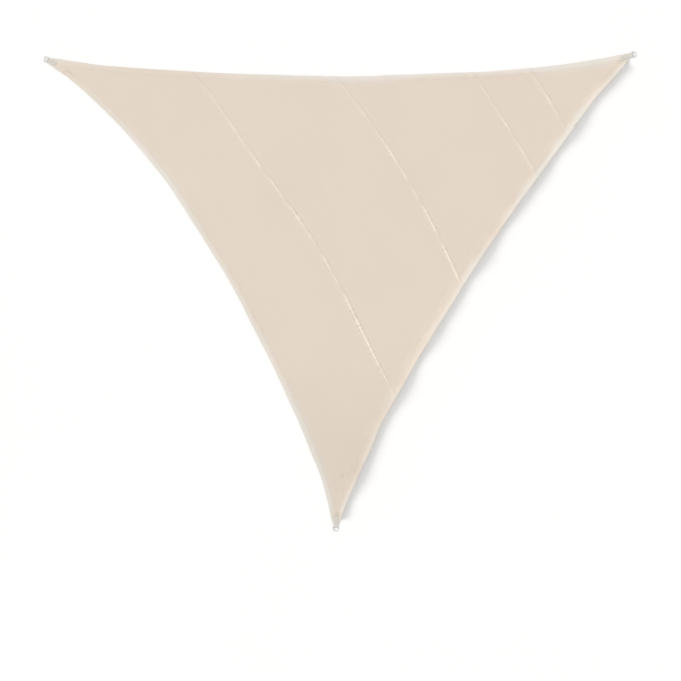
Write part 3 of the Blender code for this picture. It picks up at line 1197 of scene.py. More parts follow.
@dataclass(frozen=True)
class Finish:
    """What every finish has: a name, a colour, a roughness, and how uneven its colour is."""

    name: str
    color: Color
    roughness: float
    patches: float = 0.0
    specks: float = 0.0

    def started(self) -> tuple[bpy.types.Material, Bench, bpy.types.Node, Socket]:
        """Starts the material.

        Returns:
            The material, a bench on its tree, its shader and its object coordinates.
        """
        material = bpy.data.materials.new(self.name)
        material.use_nodes = True
        bench = Bench(material.node_tree)
        shader = material.node_tree.nodes["Principled BSDF"]
        shader.inputs["Roughness"].default_value = self.roughness
        coordinates = bench.add("ShaderNodeTexCoord").outputs["Object"]
        return material, bench, shader, coordinates

    def dyed(self, bench: Bench, effects: Effects, coordinates: Socket) -> Socket:
        """Makes the finish's own colour uneven.

        Args:
            bench: The bench on the material's tree.
            effects: The shared shader groups.
            coordinates: Where the patches and specks lie.

        Returns:
            The colour with its patches and specks.
        """
        group = bench.group(
            effects.uneven,
            Coordinates=coordinates,
            Color=(*self.color, 1.0),
            Patches=self.patches,
            Specks=self.specks,
        )
        return group.outputs["Color"]

    @staticmethod
    def bumped(
        bench: Bench, shader: bpy.types.Node, reliefs: Iterable[tuple[Any, float, float]]
    ) -> None:
        """Feeds the shader's normal from a row of bumps.

        Args:
            bench: The bench on the material's tree.
            shader: The shader to feed.
            reliefs: For each bump, its height socket, its depth in metres and its strength.
        """
        normal = None
        for height, depth, strength in reliefs:
            bump = bench.add("ShaderNodeBump")
            bump.inputs["Distance"].default_value = depth
            bump.inputs["Strength"].default_value = strength
            bench.feed(bump.inputs["Height"], height)
            if normal is not None:
                bench.feed(bump.inputs["Normal"], normal)
            normal = bump.outputs[0]
        bench.feed(shader.inputs["Normal"], normal)


@dataclass(frozen=True)
class ClothFinish(Finish):
    """Matt sand-coloured polyester in plain weave, paler where it is doubled or stitched, partly by
    painted highlight.
    """

    patches: float = 0.045
    specks: float = 0.05
    pitch: float = 0.0007
    bolt_turn: float = radians(-59)
    sheen: float = 0.08
    # Colours of the doubled hem, whose paleness is partly a painted highlight
    hem_colors: tuple[Color, Color] = ((0.742, 0.718, 0.648), (0.780, 0.712, 0.666))
    # Colour of a seam's pale line, partly a painted highlight
    seam_color: Color = (0.900, 0.800, 0.685)
    # Scale and range of the noises in the hems' paleness, their colour and the seams' paleness
    hem_patches: tuple[float, float, float] = (14.0, 0.8, 1.2)
    hem_color_patches: tuple[float, float, float] = (7.0, -1.0, 2.0)
    seam_flecks: tuple[float, float, float] = (95.0, -0.5, 2.5)
    # Tones: painted shade in a hollow, painted highlight on a thread and painted shade in the gap
    # beside it, and of thin and thick threads
    painted_shade_tone: float = 0.84
    gap_shade_tones: tuple[float, float] = (1.015, 0.965)
    bar_tones: tuple[float, float] = (0.988, 1.012)
    bar_scale: tuple[float, float, float] = (0.6, 26.0, 1.0)
    bar_noise: tuple[float, float] = (1.0, 3.0)
    # Painted shade: the cloth darkens a little towards the bottom ring, between these two heights
    # in plan
    dim_tone: float = 0.950
    dim_from: float = -0.45
    dim_to: float = -0.95
    # Scale and detail of the crinkle, then depth and strength of its relief and of the weave's
    crinkle_noise: tuple[float, float] = (55.0, 4.0)
    crinkle_relief: tuple[float, float] = (0.0009, 0.30)
    weave_relief: tuple[float, float] = (0.00018, 0.55)

    def material(self, effects: Effects) -> bpy.types.Material:
        """Builds the cloth's material.

        Args:
            effects: The shared shader groups.

        Returns:
            The material, which reads the sheet's attributes hem, seam and hollow; hollow carries
            painted shade.
        """
        material, bench, shader, coordinates = self.started()
        shader.inputs["Sheen Weight"].default_value = self.sheen
        bolt = bench.add("ShaderNodeMapping")
        bolt.inputs["Rotation"].default_value = (0.0, 0.0, -self.bolt_turn)
        bench.feed(bolt.inputs["Vector"], coordinates)
        along_bolt = bolt.outputs[0]
        woven = bench.group(effects.woven, Coordinates=along_bolt, Pitch=self.pitch)
        hem, seam, hollow = (
            bench.add("ShaderNodeAttribute", attribute_name=key).outputs["Fac"]
            for key in ("hem", "seam", "hollow")
        )
        amount = bench.math("MULTIPLY", hem, bench.patchy(coordinates, *self.hem_patches))
        doubled = bench.blend(bench.patchy(coordinates, *self.hem_color_patches), *self.hem_colors)
        color = self.dyed(bench, effects, coordinates)
        color = bench.blend(bench.limited(amount), color, doubled)
        amount = bench.math("MULTIPLY", seam, bench.patchy(coordinates, *self.seam_flecks))
        color = bench.blend(bench.limited(amount), color, self.seam_color)
        # Tint the colour: painted shade in hollows, thicker and thinner threads, painted shade in
        # the weave's gaps, painted shade towards the bottom ring
        for tone in (
            bench.span(hollow, 1.0, self.painted_shade_tone),
            self.bars(bench, along_bolt),
            bench.span(woven.outputs["Gap"], *self.gap_shade_tones),
            self.painted_shade_to_bottom(bench, coordinates),
        ):
            color = bench.tinted(color, tone)
        bench.feed(shader.inputs["Base Color"], color)
        crinkle = bench.noise(coordinates, *self.crinkle_noise)
        weave = woven.outputs["Height"]
        reliefs = ((crinkle, *self.crinkle_relief), (weave, *self.weave_relief))
        self.bumped(bench, shader, reliefs)
        return material

    def bars(self, bench: Bench, along_bolt: Socket) -> Socket:
        """Makes faint bars of thicker and thinner threads.

        Args:
            bench: The bench on the material's tree.
            along_bolt: Coordinates with x along the bolt.

        Returns:
            The bars' tone.
        """
        stretched = bench.add("ShaderNodeMapping")
        stretched.inputs["Scale"].default_value = self.bar_scale
        bench.feed(stretched.inputs["Vector"], along_bolt)
        return bench.span(bench.noise(stretched.outputs[0], *self.bar_noise), *self.bar_tones)

    def painted_shade_to_bottom(self, bench: Bench, coordinates: Socket) -> Socket:
        """Paints shade that darkens the cloth towards the bottom ring.

        Args:
            bench: The bench on the material's tree.
            coordinates: The object coordinates.

        Returns:
            The tone, which is 1 over most of the cloth.
        """
        split = bench.add("ShaderNodeSeparateXYZ")
        bench.feed(split.inputs[0], coordinates)
        return bench.span(split.outputs[1], self.dim_tone, 1.0, self.dim_to, self.dim_from)


@dataclass(frozen=True)
class WebbingFinish(Finish):
    """Pale grey webbing, ribbed in a herringbone, its colour a little uneven."""

    patches: float = 0.10
    specks: float = 0.14
    rib: float = 0.0016
    half_bone: float = 0.003
    # Tones of the ribs: painted shade in their troughs, painted highlight on their crests
    rib_shade_tones: tuple[float, float] = (0.90, 1.03)
    pitch: float = 0.0008
    # Depth and strength of the relief of the ribs and of the weave
    rib_relief: tuple[float, float] = (0.0004, 0.8)
    weave_relief: tuple[float, float] = (0.00015, 0.6)

    def material(self, effects: Effects) -> bpy.types.Material:
        """Builds the webbing's material.

        Args:
            effects: The shared shader groups.

        Returns:
            The material, whose pattern follows the strip's UV map.
        """
        material, bench, shader, coordinates = self.started()
        strip = bench.add("ShaderNodeUVMap", uv_map="strip").outputs[0]
        split = bench.add("ShaderNodeSeparateXYZ")
        bench.feed(split.inputs[0], strip)
        folded = bench.math("PINGPONG", split.outputs[1], self.half_bone)
        slant = bench.math("ADD", split.outputs[0], folded)
        ribs = bench.math("SINE", bench.math("MULTIPLY", slant, tau / self.rib))
        ribs = bench.span(ribs, 0.0, 1.0)
        woven = bench.group(effects.woven, Coordinates=strip, Pitch=self.pitch)
        color = self.dyed(bench, effects, coordinates)
        color = bench.tinted(color, bench.span(ribs, *self.rib_shade_tones))
        bench.feed(shader.inputs["Base Color"], color)
        weave = woven.outputs["Height"]
        self.bumped(bench, shader, ((ribs, *self.rib_relief), (weave, *self.weave_relief)))
        return material


@dataclass(frozen=True)
class ThreadFinish(Finish):
    """Pale sewing thread, twisted and slightly fuzzy."""

    patches: float = 0.05
    specks: float = 0.20
    # Scale and detail of the fuzz, then depth and strength of its relief
    fuzz_noise: tuple[float, float] = (2500.0, 2.0)
    fuzz_relief: tuple[float, float] = (0.0001, 0.5)

    def material(self, effects: Effects) -> bpy.types.Material:
        """Builds the thread's material.

        Args:
            effects: The shared shader groups.

        Returns:
            The material.
        """
        material, bench, shader, coordinates = self.started()
        bench.feed(shader.inputs["Base Color"], self.dyed(bench, effects, coordinates))
        fuzz = bench.noise(coordinates, *self.fuzz_noise)
        self.bumped(bench, shader, ((fuzz, *self.fuzz_relief),))
        return material


@dataclass(frozen=True)
class SteelFinish(Finish):
    """Polished stainless wire with fine drawing marks and duller patches from handling."""

    patches: float = 0.04
    specks: float = 0.16
    # How much smoother and how much duller than the rest the handled patches get
    smoother: float = 0.08
    duller: float = 0.14
    # Scale and detail of the handled patches and of the marks, and the marks' relief
    dull_noise: tuple[float, float] = (130.0, 3.0)
    mark_noise: tuple[float, float] = (1800.0, 3.0)
    mark_relief: tuple[float, float] = (0.00004, 0.35)

    def material(self, effects: Effects) -> bpy.types.Material:
        """Builds the steel's material.

        Args:
            effects: The shared shader groups.

        Returns:
            The material.
        """
        material, bench, shader, coordinates = self.started()
        shader.inputs["Metallic"].default_value = 1.0
        bench.feed(shader.inputs["Base Color"], self.dyed(bench, effects, coordinates))
        dull = bench.noise(coordinates, *self.dull_noise)
        worn = bench.span(dull, self.roughness - self.smoother, self.roughness + self.duller)
        bench.feed(shader.inputs["Roughness"], worn)
        marks = bench.noise(coordinates, *self.mark_noise)
        self.bumped(bench, shader, ((marks, *self.mark_relief),))
        return material


@dataclass(frozen=True)
class FloorFinish(Finish):
    """Plain pale floor."""

    # Scale and range of its broad unevenness
    tone_patches: tuple[float, float, float] = (0.7, 0.995, 1.005)

    def material(self) -> bpy.types.Material:
        """Builds the floor's material.

        Returns:
            The material, which has no shine.
        """
        material, bench, shader, coordinates = self.started()
        shader.inputs["Specular IOR Level"].default_value = 0.0
        tone = bench.patchy(coordinates, *self.tone_patches)
        bench.feed(shader.inputs["Base Color"], bench.tinted(self.color, tone))
        return material


@dataclass
class Wardrobe:
    """All the finishes, each made into its material once."""

    effects: Effects
    cloth: ClothFinish = ClothFinish("sail_cloth_woven", (0.724, 0.634, 0.540), 0.86)
    webbing: WebbingFinish = WebbingFinish("tab_webbing", (0.712, 0.692, 0.640), 0.80)
    thread: ThreadFinish = ThreadFinish("sewing_thread", (0.850, 0.770, 0.660), 0.70)
    steel: SteelFinish = SteelFinish("ring_wire_steel", (0.80, 0.80, 0.81), 0.20)

    def __post_init__(self) -> None:
        """Makes the materials."""
        self.cloth_material = self.cloth.material(self.effects)
        self.webbing_material = self.webbing.material(self.effects)
        self.thread_material = self.thread.material(self.effects)
        self.steel_material = self.steel.material(self.effects)


def placed(name: str, mesh: bpy.types.Mesh, material: bpy.types.Material) -> Piece:
    """Puts a finished mesh in the scene as a piece of the sail.

    Args:
        name: The piece's name.
        mesh: Its mesh, in the part's own frame.
        material: Its material.

    Returns:
        The piece's object, which rides on the sail's body.
    """
    piece = bpy.data.objects.new(name, mesh)
    mesh.materials.append(material)
    bpy.context.scene.collection.objects.link(piece)
    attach(piece, BODY)
    LOG.info("%s: %d faces", name, len(mesh.polygons))
    return piece


def meshed(bm: bmesh.types.BMesh, name: str, sharp_from: float) -> bpy.types.Mesh:
    """Makes a mesh of a closed bmesh.

    Args:
        bm: The bmesh, which is freed.
        name: The mesh's name.
        sharp_from: Edges that turn by more than this angle stay sharp.

    Returns:
        The mesh, facing outwards and shaded smooth.
    """
    bmesh.ops.recalc_face_normals(bm, faces=bm.faces[:])
    mesh = bpy.data.meshes.new(name)
    bm.to_mesh(mesh)
    bm.free()
    mesh.shade_smooth()
    mesh.set_sharp_from_angle(angle=sharp_from)
    return mesh


@dataclass(eq=False)
class ClothPanel:
    """One cloth panel between its west and east lines, with its share of the folded hem."""

    number: int
    plan: SailPlan
    lay: ClothLay
    cut_size: tuple[float, float]
    cut_area: float
    lap_gap: float = 0.0002
    row_step: float = 0.016
    row_cuts: int = 3
    column_step: float = 0.012
    sharp_from: float = radians(38)
    same_point: float = 1e-6
    # The hem from its fold inwards: distance in, height of the underside, height of the top
    hem_profile: tuple[tuple[float, float, float], ...] = (
        (0.0000, 0.0005, 0.0011),
        (0.0007, 0.0001, 0.0017),
        (0.0022, 0.0000, 0.0019),
        (0.0080, 0.0000, 0.0020),
        (0.0150, 0.0000, 0.0020),
        (0.0220, 0.0000, 0.0019),
        (0.0270, 0.0000, 0.0016),
        (0.0298, 0.0000, 0.0018),
        (0.0325, 0.0000, 0.0014),
        (0.0348, 0.0000, 0.0014),
        (0.0362, 0.0000, 0.0011),
        (0.0374, 0.0000, 0.0006),
    )
    corner_fold: float = 0.30
    # The lap over the next panel, across the seam: offset, rise of the underside as a share of
    # the next panel's thickness, thickness
    lap_profile: tuple[tuple[float, float, float], ...] = (
        (-0.0200, 0.00, 0.0006),
        (-0.0160, 0.25, 0.0006),
        (-0.0120, 0.75, 0.0006),
        (-0.0080, 1.00, 0.0007),
        (-0.0045, 1.00, 0.0007),
        (0.0000, 1.00, 0.0009),
        (0.0045, 1.00, 0.0006),
        (0.0072, 1.00, 0.0005),
        (0.0080, 1.00, 0.0003),
    )
    hem_field: tuple[float, ...] = (0.040, 0.046, 0.053, 0.061, 0.070, 0.080, 0.092)
    left_field: tuple[float, ...] = (0.040, 0.046, 0.053, 0.061, 0.070, 0.080)
    lap_field: tuple[float, ...] = (0.0115, 0.015, 0.019, 0.024, 0.030, 0.038, 0.048)
    # A seam's pale line, partly a painted highlight on its raised fold: where it starts to fade
    # beside the stitching, where it ends, and over what length it fades at a hem
    seam_line: tuple[float, float] = (0.0032, 0.0072)
    seam_fade: float = 0.002

    def __post_init__(self) -> None:
        """Lists the mesh's columns and rows."""
        self.name = f"sail_panel_{self.number + 1}"
        self.first = self.number == 0
        self.last = self.number == len(self.plan.seams)
        self.north = self.plan.sides[Hem.TOP]
        self.south = self.plan.sides[Hem.RIGHT]
        self.west = self.plan.sides[Hem.LEFT] if self.first else self.plan.seams[self.number - 1]
        self.east = None if self.last else self.plan.seams[self.number]
        insets = [row[0] for row in self.hem_profile]
        self.deep = self.hem_field[-1]
        if self.first:
            west = [*insets, *self.left_field]
        else:
            half = self.plan.lap_half
            west = [-half, -half / 2, 0.0, half / 2, half, *self.lap_field]
        lap_from = self.lap_profile[0][0]
        east = [-offset for offset in reversed(self.lap_field) if -offset < lap_from]
        east += [row[0] for row in self.lap_profile]
        self.west_in = west[-1]
        self.east_in = east[0]
        rows = max(2, ceil(self.west_length() / self.row_step))
        columns = max(2, ceil(self.width() / self.column_step))
        self.columns: list[Place] = [(Side.WEST, offset) for offset in west]
        self.columns += [(Side.MIDDLE, step / columns) for step in range(1, columns)]
        if self.last:
            self.columns.append((Side.POINT, 0.0))
        else:
            self.columns += [(Side.EAST, offset) for offset in east]
        bands = insets + list(self.hem_field)
        self.rows: list[Place] = [(Side.NORTH, inset) for inset in bands]
        self.rows += [(Side.MIDDLE, step / rows) for step in range(1, rows)]
        self.rows += [(Side.SOUTH, inset) for inset in reversed(bands)]
        self.mid_from = len(bands) - 1
        self.mid_to = self.mid_from + rows

    def west_length(self) -> float:
        """Length of the innermost west line between the bands of the two hems.

        Returns:
            The length.
        """
        cross = self.plan.crossing
        start = cross(self.west, self.west_in, self.north, self.deep)[2]
        end = cross(self.west, self.west_in, self.south, self.deep)[2]
        return (end - start).length

    def width(self) -> float:
        """Width of the panel between its innermost lines, along the top side."""
        start, end = (self.level(Side.NORTH, self.deep, share) for share in (0.0, 1.0))
        return (end - start).length

    def hem_line(self, side: Side) -> BowedLine:
        """The top side for the north, and the right side for the south."""
        return self.north if side is Side.NORTH else self.south

    def upright(self, side: Side, offset: float, row: Place) -> Vector:
        """The node of a west or east line on a row.

        Args:
            side: West or east.
            offset: The line's offset.
            row: The row.

        Returns:
            The node in plan.
        """
        line = self.west if side is Side.WEST else self.east
        row_side, value = row
        cross = self.plan.crossing
        if row_side is Side.MIDDLE:
            start = cross(line, offset, self.north, self.deep)[0]
            end = cross(line, offset, self.south, self.deep)[0]
            return line.at(start + (end - start) * value, offset)
        return cross(line, offset, self.hem_line(row_side), value)[2]

    def level(self, side: Side, inset: float, share: float) -> Vector:
        """The node of a top or right side line at a share of the way across.

        Args:
            side: North or south.
            inset: The line's distance in.
            share: The share of the way across.

        Returns:
            The node in plan.
        """
        line = self.hem_line(side)
        cross = self.plan.crossing
        start = cross(self.west, self.west_in, line, inset)[1]
        if self.last:
            end = cross(self.north, inset, self.south, inset)[0 if side is Side.NORTH else 1]
        else:
            end = cross(self.east, self.east_in, line, inset)[1]
        return line.at(start + (end - start) * share, inset)

    def mitre(self, row: Place) -> Vector:
        """The node where a line of the top hem meets the same line of the right hem."""
        inset = self.deep if row[0] is Side.MIDDLE else row[1]
        return self.plan.crossing(self.north, inset, self.south, inset)[2]

    def inside(self, across: float, down: float) -> Vector:
        """A node between the four innermost lines.

        Args:
            across: The share of the way from west to east.
            down: The share of the way from north to south.

        Returns:
            The node in plan.
        """
        rows = ((Side.MIDDLE, down), (Side.NORTH, self.deep), (Side.SOUTH, self.deep))
        west, north_west, south_west = (self.upright(Side.WEST, self.west_in, row) for row in rows)
        if self.last:
            east = north_east = south_east = self.mitre(rows[0])
        else:
            east, north_east, south_east = (
                self.upright(Side.EAST, self.east_in, row) for row in rows
            )
        north = self.level(Side.NORTH, self.deep, across)
        south = self.level(Side.SOUTH, self.deep, across)
        top = north_west.lerp(north_east, across)
        corners = top.lerp(south_west.lerp(south_east, across), down)
        return west.lerp(east, across) + north.lerp(south, down) - corners

    def node(self, column: Place, row: Place) -> Vector:
        """The place in plan of one mesh node.

        Args:
            column: The node's column.
            row: The node's row.

        Returns:
            The node in plan.
        """
        side, across = column
        row_side, down = row
        if side is Side.POINT:
            return self.mitre(row)
        if side is not Side.MIDDLE:
            return self.upright(side, across, row)
        if row_side is not Side.MIDDLE:
            return self.level(row_side, down, across)
        return self.inside(across, down)

    def layers(self, column: Place, row: Place) -> tuple[float, float]:
        """How the cloth is folded at one node.

        Args:
            column: The node's column.
            row: The node's row.

        Returns:
            The underside's lift, and the thickness.
        """
        insets = [] if row[0] is Side.MIDDLE else [row[1]]
        if self.first and column[0] is Side.WEST:
            insets.append(column[1])
        inset = min(insets, default=self.deep)
        low = between(self.hem_profile, inset, 1)
        top = between(self.hem_profile, inset, 2)
        lift = 0.0
        if column[0] is Side.EAST:
            offset = column[1]
            lift = between(self.lap_profile, offset, 1) * (top + self.lap_gap)
            top = max(top, between(self.lap_profile, offset, 2))
        return low + lift, top - low

    def seam_paleness_and_highlight(self, spot: Spot) -> float:
        """How far a spot belongs to the pale line of a stitched seam, partly a painted highlight,
        from 0 to 1.

        Args:
            spot: The spot, measured on the plan.

        Returns:
            The tone.
        """
        hem_width = self.plan.hem_width
        inside = smooth_step(hem_width - self.seam_fade, hem_width, spot.inset)
        tone = 0.0
        for number, along, offset in self.lay.near_seams(spot):
            line = 1.0 - smooth_step(*self.seam_line, abs(offset))
            tone = max(tone, line * self.lay.seam_strength(number, along))
        return min(1.0, tone * inside)

    def row_at(self, place: float) -> Place:
        """The row at a place down the grid, between two rows where the grid was split.

        Args:
            place: How many rows down the grid.

        Returns:
            The row.
        """
        if self.mid_from < place < self.mid_to:
            return Side.MIDDLE, (place - self.mid_from) / (self.mid_to - self.mid_from)
        return self.rows[round(place)]

    def split_rows(self, bm: bmesh.types.BMesh) -> None:
        """Splits the rows' steps more finely beside the seams, the left hem and the creases.

        Args:
            bm: The flat grid.
        """
        fine = []
        for edge in bm.edges:
            start, end = sorted(self.down_grid(vert) for vert in edge.verts)
            if round(start) == round(end) or not self.mid_from <= round(start) < self.mid_to:
                continue
            column = self.column_at(edge.verts[0])
            middle = self.node(column, self.row_at((start + end) / 2))
            if column[0] in (Side.WEST, Side.EAST) or self.lay.creased(middle):
                fine.append(edge)
        bmesh.ops.subdivide_edges(bm, edges=fine, cuts=self.row_cuts, use_grid_fill=True)

    def column_at(self, vert: bmesh.types.BMVert) -> Place:
        """The column of a node of the flat grid."""
        return self.columns[round((vert.co.x + 1.0) / 2.0 * (len(self.columns) - 1))]

    def down_grid(self, vert: bmesh.types.BMVert) -> float:
        """How many rows down the flat grid a node lies, between two rows where it was split."""
        return (1.0 - vert.co.y) / 2.0 * (len(self.rows) - 1)

    def sheet_mesh(self) -> bpy.types.Mesh:
        """Lays the panel as a closed sheet: a grid in plan, cut at its tips, then given its top.

        Returns:
            The panel's mesh, with its attributes hem, seam and hollow.
        """
        bm = bmesh.new()
        thick, hem, seam, hollow = (
            bm.verts.layers.float.new(key) for key in ("thick", "hem", "seam", "hollow")
        )
        wide, deep = len(self.columns) - 1, len(self.rows) - 1
        bmesh.ops.create_grid(bm, x_segments=wide, y_segments=deep, size=1.0)
        self.split_rows(bm)
        for vert in bm.verts:
            column = self.column_at(vert)
            row = self.row_at(self.down_grid(vert))
            spot = self.plan.spot(self.node(column, row))
            lift, cloth = self.layers(column, row)
            folded = 1.0 + self.corner_fold * self.lay.held(spot)
            vert[thick] = cloth * folded
            # hem and seam carry paleness that is partly painted highlight; hollow carries painted
            # shade
            vert[hem] = self.lay.hem_paleness_and_highlight(spot)
            vert[seam] = self.seam_paleness_and_highlight(spot)
            vert[hollow] = self.lay.hollow(spot)
            vert.co = (*self.lay.drawn(spot), self.lay.height(spot) + lift)
        bmesh.ops.remove_doubles(bm, verts=bm.verts[:], dist=self.same_point)
        self.cut_tips(bm)
        top = bmesh.ops.extrude_face_region(bm, geom=bm.faces[:])["geom"]
        for vert in only(top, bmesh.types.BMVert):
            vert.co.z += vert[thick]
        return meshed(bm, self.name, self.sharp_from)

    def cut_tips(self, bm: bmesh.types.BMesh) -> None:
        """Cuts the cloth off square before each ring that the panel reaches.

        Args:
            bm: The sheet, before it gets its top.
        """
        rings = []
        if self.first:
            rings += [Ring.LEFT, Ring.BOTTOM]
        if self.last:
            rings.append(Ring.RIGHT)
        for tip in (self.plan.tips[ring] for ring in rings):
            bmesh.ops.bisect_plane(
                bm,
                geom=[*bm.verts, *bm.edges, *bm.faces],
                plane_co=(*tip.middle, 0.0),
                plane_no=(*tip.out, 0.0),
                clear_outer=True,
            )

    def build(self, wardrobe: Wardrobe) -> Piece:
        """Builds the panel and puts it in place of its solid.

        Args:
            wardrobe: The finishes.

        Returns:
            The piece.
        """
        piece = placed(self.name, self.sheet_mesh(), wardrobe.cloth_material)
        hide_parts(f"cloth_panel_{self.number + 1}")
        return piece


@dataclass(eq=False)
class SailBody:
    """The five panels, sewn edge to edge."""

    plan: SailPlan
    lay: ClothLay
    # The cut of each panel: width and length of the cloth it comes from, and its own area
    cuts: tuple[tuple[float, float, float], ...] = (
        (0.90, 3.40, 1.84),
        (0.86, 2.42, 1.40),
        (0.82, 1.57, 0.87),
        (0.36, 0.81, 0.22),
        (0.60, 0.53, 0.184),
    )

    def build(self, wardrobe: Wardrobe) -> list[Piece]:
        """Builds the panels from west to east.

        Args:
            wardrobe: The finishes.

        Returns:
            The pieces.
        """
        return [
            ClothPanel(number, self.plan, self.lay, (width, length), area).build(wardrobe)
            for number, (width, length, area) in enumerate(self.cuts)
        ]


@dataclass(eq=False)
class CornerTab:
    """A strip of webbing, folded round the ring's bar and sewn over and under the cloth."""

    ring: Ring
    tip: Tip
    width: float
    leg: float
    thick: float = 0.0015
    gap: float = 0.0004
    wire: float = 0.005
    bar_gap: float = 0.00035
    hem_thick: float = 0.0026
    strip_step: float = 0.0012
    across_steps: int = 18
    slope_step: float = 0.0002
    # How far the strip's threads stray sideways, and over what grain along and across
    stray: float = 0.0003
    stray_grain: tuple[float, float] = (0.02, 0.012)
    stray_seed: float = 3.0
    edge_round: float = 0.0004
    rim_from: float = radians(60)
    sharp_from: float = radians(40)

    def __post_init__(self) -> None:
        """Works out the fold."""
        self.name = f"webbing_tab_{self.ring.value}"
        self.inside = self.wire / 2 + self.bar_gap
        self.bar_height = self.thick + self.inside
        self.cut = self.tip.reach - self.tip.ring_depth / 2
        self.lower_run = self.cut + self.leg
        self.turn_run = pi * self.inside
        over_cloth = self.thick + 2 * self.gap + self.hem_thick
        self.drop = self.thick + 2 * self.inside - over_cloth
        self.length = 2 * self.lower_run + self.turn_run

    def path(self, along: float) -> tuple[Vector, Vector]:
        """Follows the strip's inner face from the end of its lower leg, round the bar.

        Args:
            along: Distance along the strip.

        Returns:
            The point as (outwards, 0, up) from the bar, and the unit normal to the outer face.
        """
        if along <= self.lower_run:
            out = along - self.lower_run
            return Vector((out, 0.0, self.thick)), Vector((0.0, 0.0, -1.0))
        turned = (along - self.lower_run) / self.inside
        if turned <= pi:
            away = Vector((sin(turned), 0.0, -cos(turned)))
            return Vector((0.0, 0.0, self.bar_height)) + away * self.inside, away
        back = along - self.lower_run - self.turn_run
        high = self.bar_height + self.inside
        settled = smooth_step(0.0, self.cut, back)
        ahead = smooth_step(0.0, self.cut, back + self.slope_step)
        slope = self.drop * (ahead - settled) / self.slope_step
        normal = Vector((-slope, 0.0, 1.0)).normalized()
        return Vector((-back, 0.0, high - self.drop * settled)), normal

    def strip_mesh(self) -> bpy.types.Mesh:
        """Bends a flat grid round the path and gives it the webbing's thickness.

        Returns:
            The strip's mesh, with its UV map in metres along and across.
        """
        bm = bmesh.new()
        strip = bm.loops.layers.uv.new("strip")
        steps = ceil(self.length / self.strip_step)
        bmesh.ops.create_grid(
            bm, x_segments=steps, y_segments=self.across_steps, size=0.5, calc_uvs=True
        )
        for face in bm.faces:
            for loop in face.loops:
                u, v = loop[strip].uv
                loop[strip].uv = (u * self.length, v * self.width)
        bmesh.ops.reverse_faces(bm, faces=bm.faces[:])
        grain_along, grain_across = self.stray_grain
        for vert in bm.verts:
            along, across = (vert.co.x + 0.5) * self.length, vert.co.y * self.width
            seen = Vector((along / grain_along, across / grain_across, self.stray_seed))
            strayed = across + self.stray * noise.noise(seen)
            vert.co = self.path(along)[0] + Vector((0.0, strayed, 0.0))
        outer = bmesh.ops.extrude_face_region(bm, geom=bm.faces[:])["geom"]
        for vert in only(outer, bmesh.types.BMVert):
            vert.co += self.path_normal(vert.co) * self.thick
        rim = [edge for edge in bm.edges if edge.calc_face_angle(0.0) > self.rim_from]
        bmesh.ops.bevel(
            bm,
            geom=rim,
            offset=self.edge_round,
            affect="EDGES",
            segments=2,
            profile=0.5,
            material=-1,
        )
        bmesh.ops.transform(bm, matrix=self.tip.matrix(), verts=bm.verts[:])
        return meshed(bm, self.name, self.sharp_from)

    def path_normal(self, place: Vector) -> Vector:
        """The outward normal of the strip at a point of its inner face.

        Args:
            place: The point as (outwards, sideways, up) from the bar.

        Returns:
            The unit normal.
        """
        if place.x >= 0.0:
            return Vector((place.x, 0.0, place.z - self.bar_height)).normalized()
        if place.z <= self.bar_height:
            return Vector((0.0, 0.0, -1.0))
        return self.path(self.lower_run + self.turn_run - place.x)[1]

    def build(self, wardrobe: Wardrobe) -> Piece:
        """Builds the tab and puts it in place of its solid.

        Args:
            wardrobe: The finishes.

        Returns:
            The piece.
        """
        piece = placed(self.name, self.strip_mesh(), wardrobe.webbing_material)
        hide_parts(f"corner_tab_{self.ring.value}")
        return piece


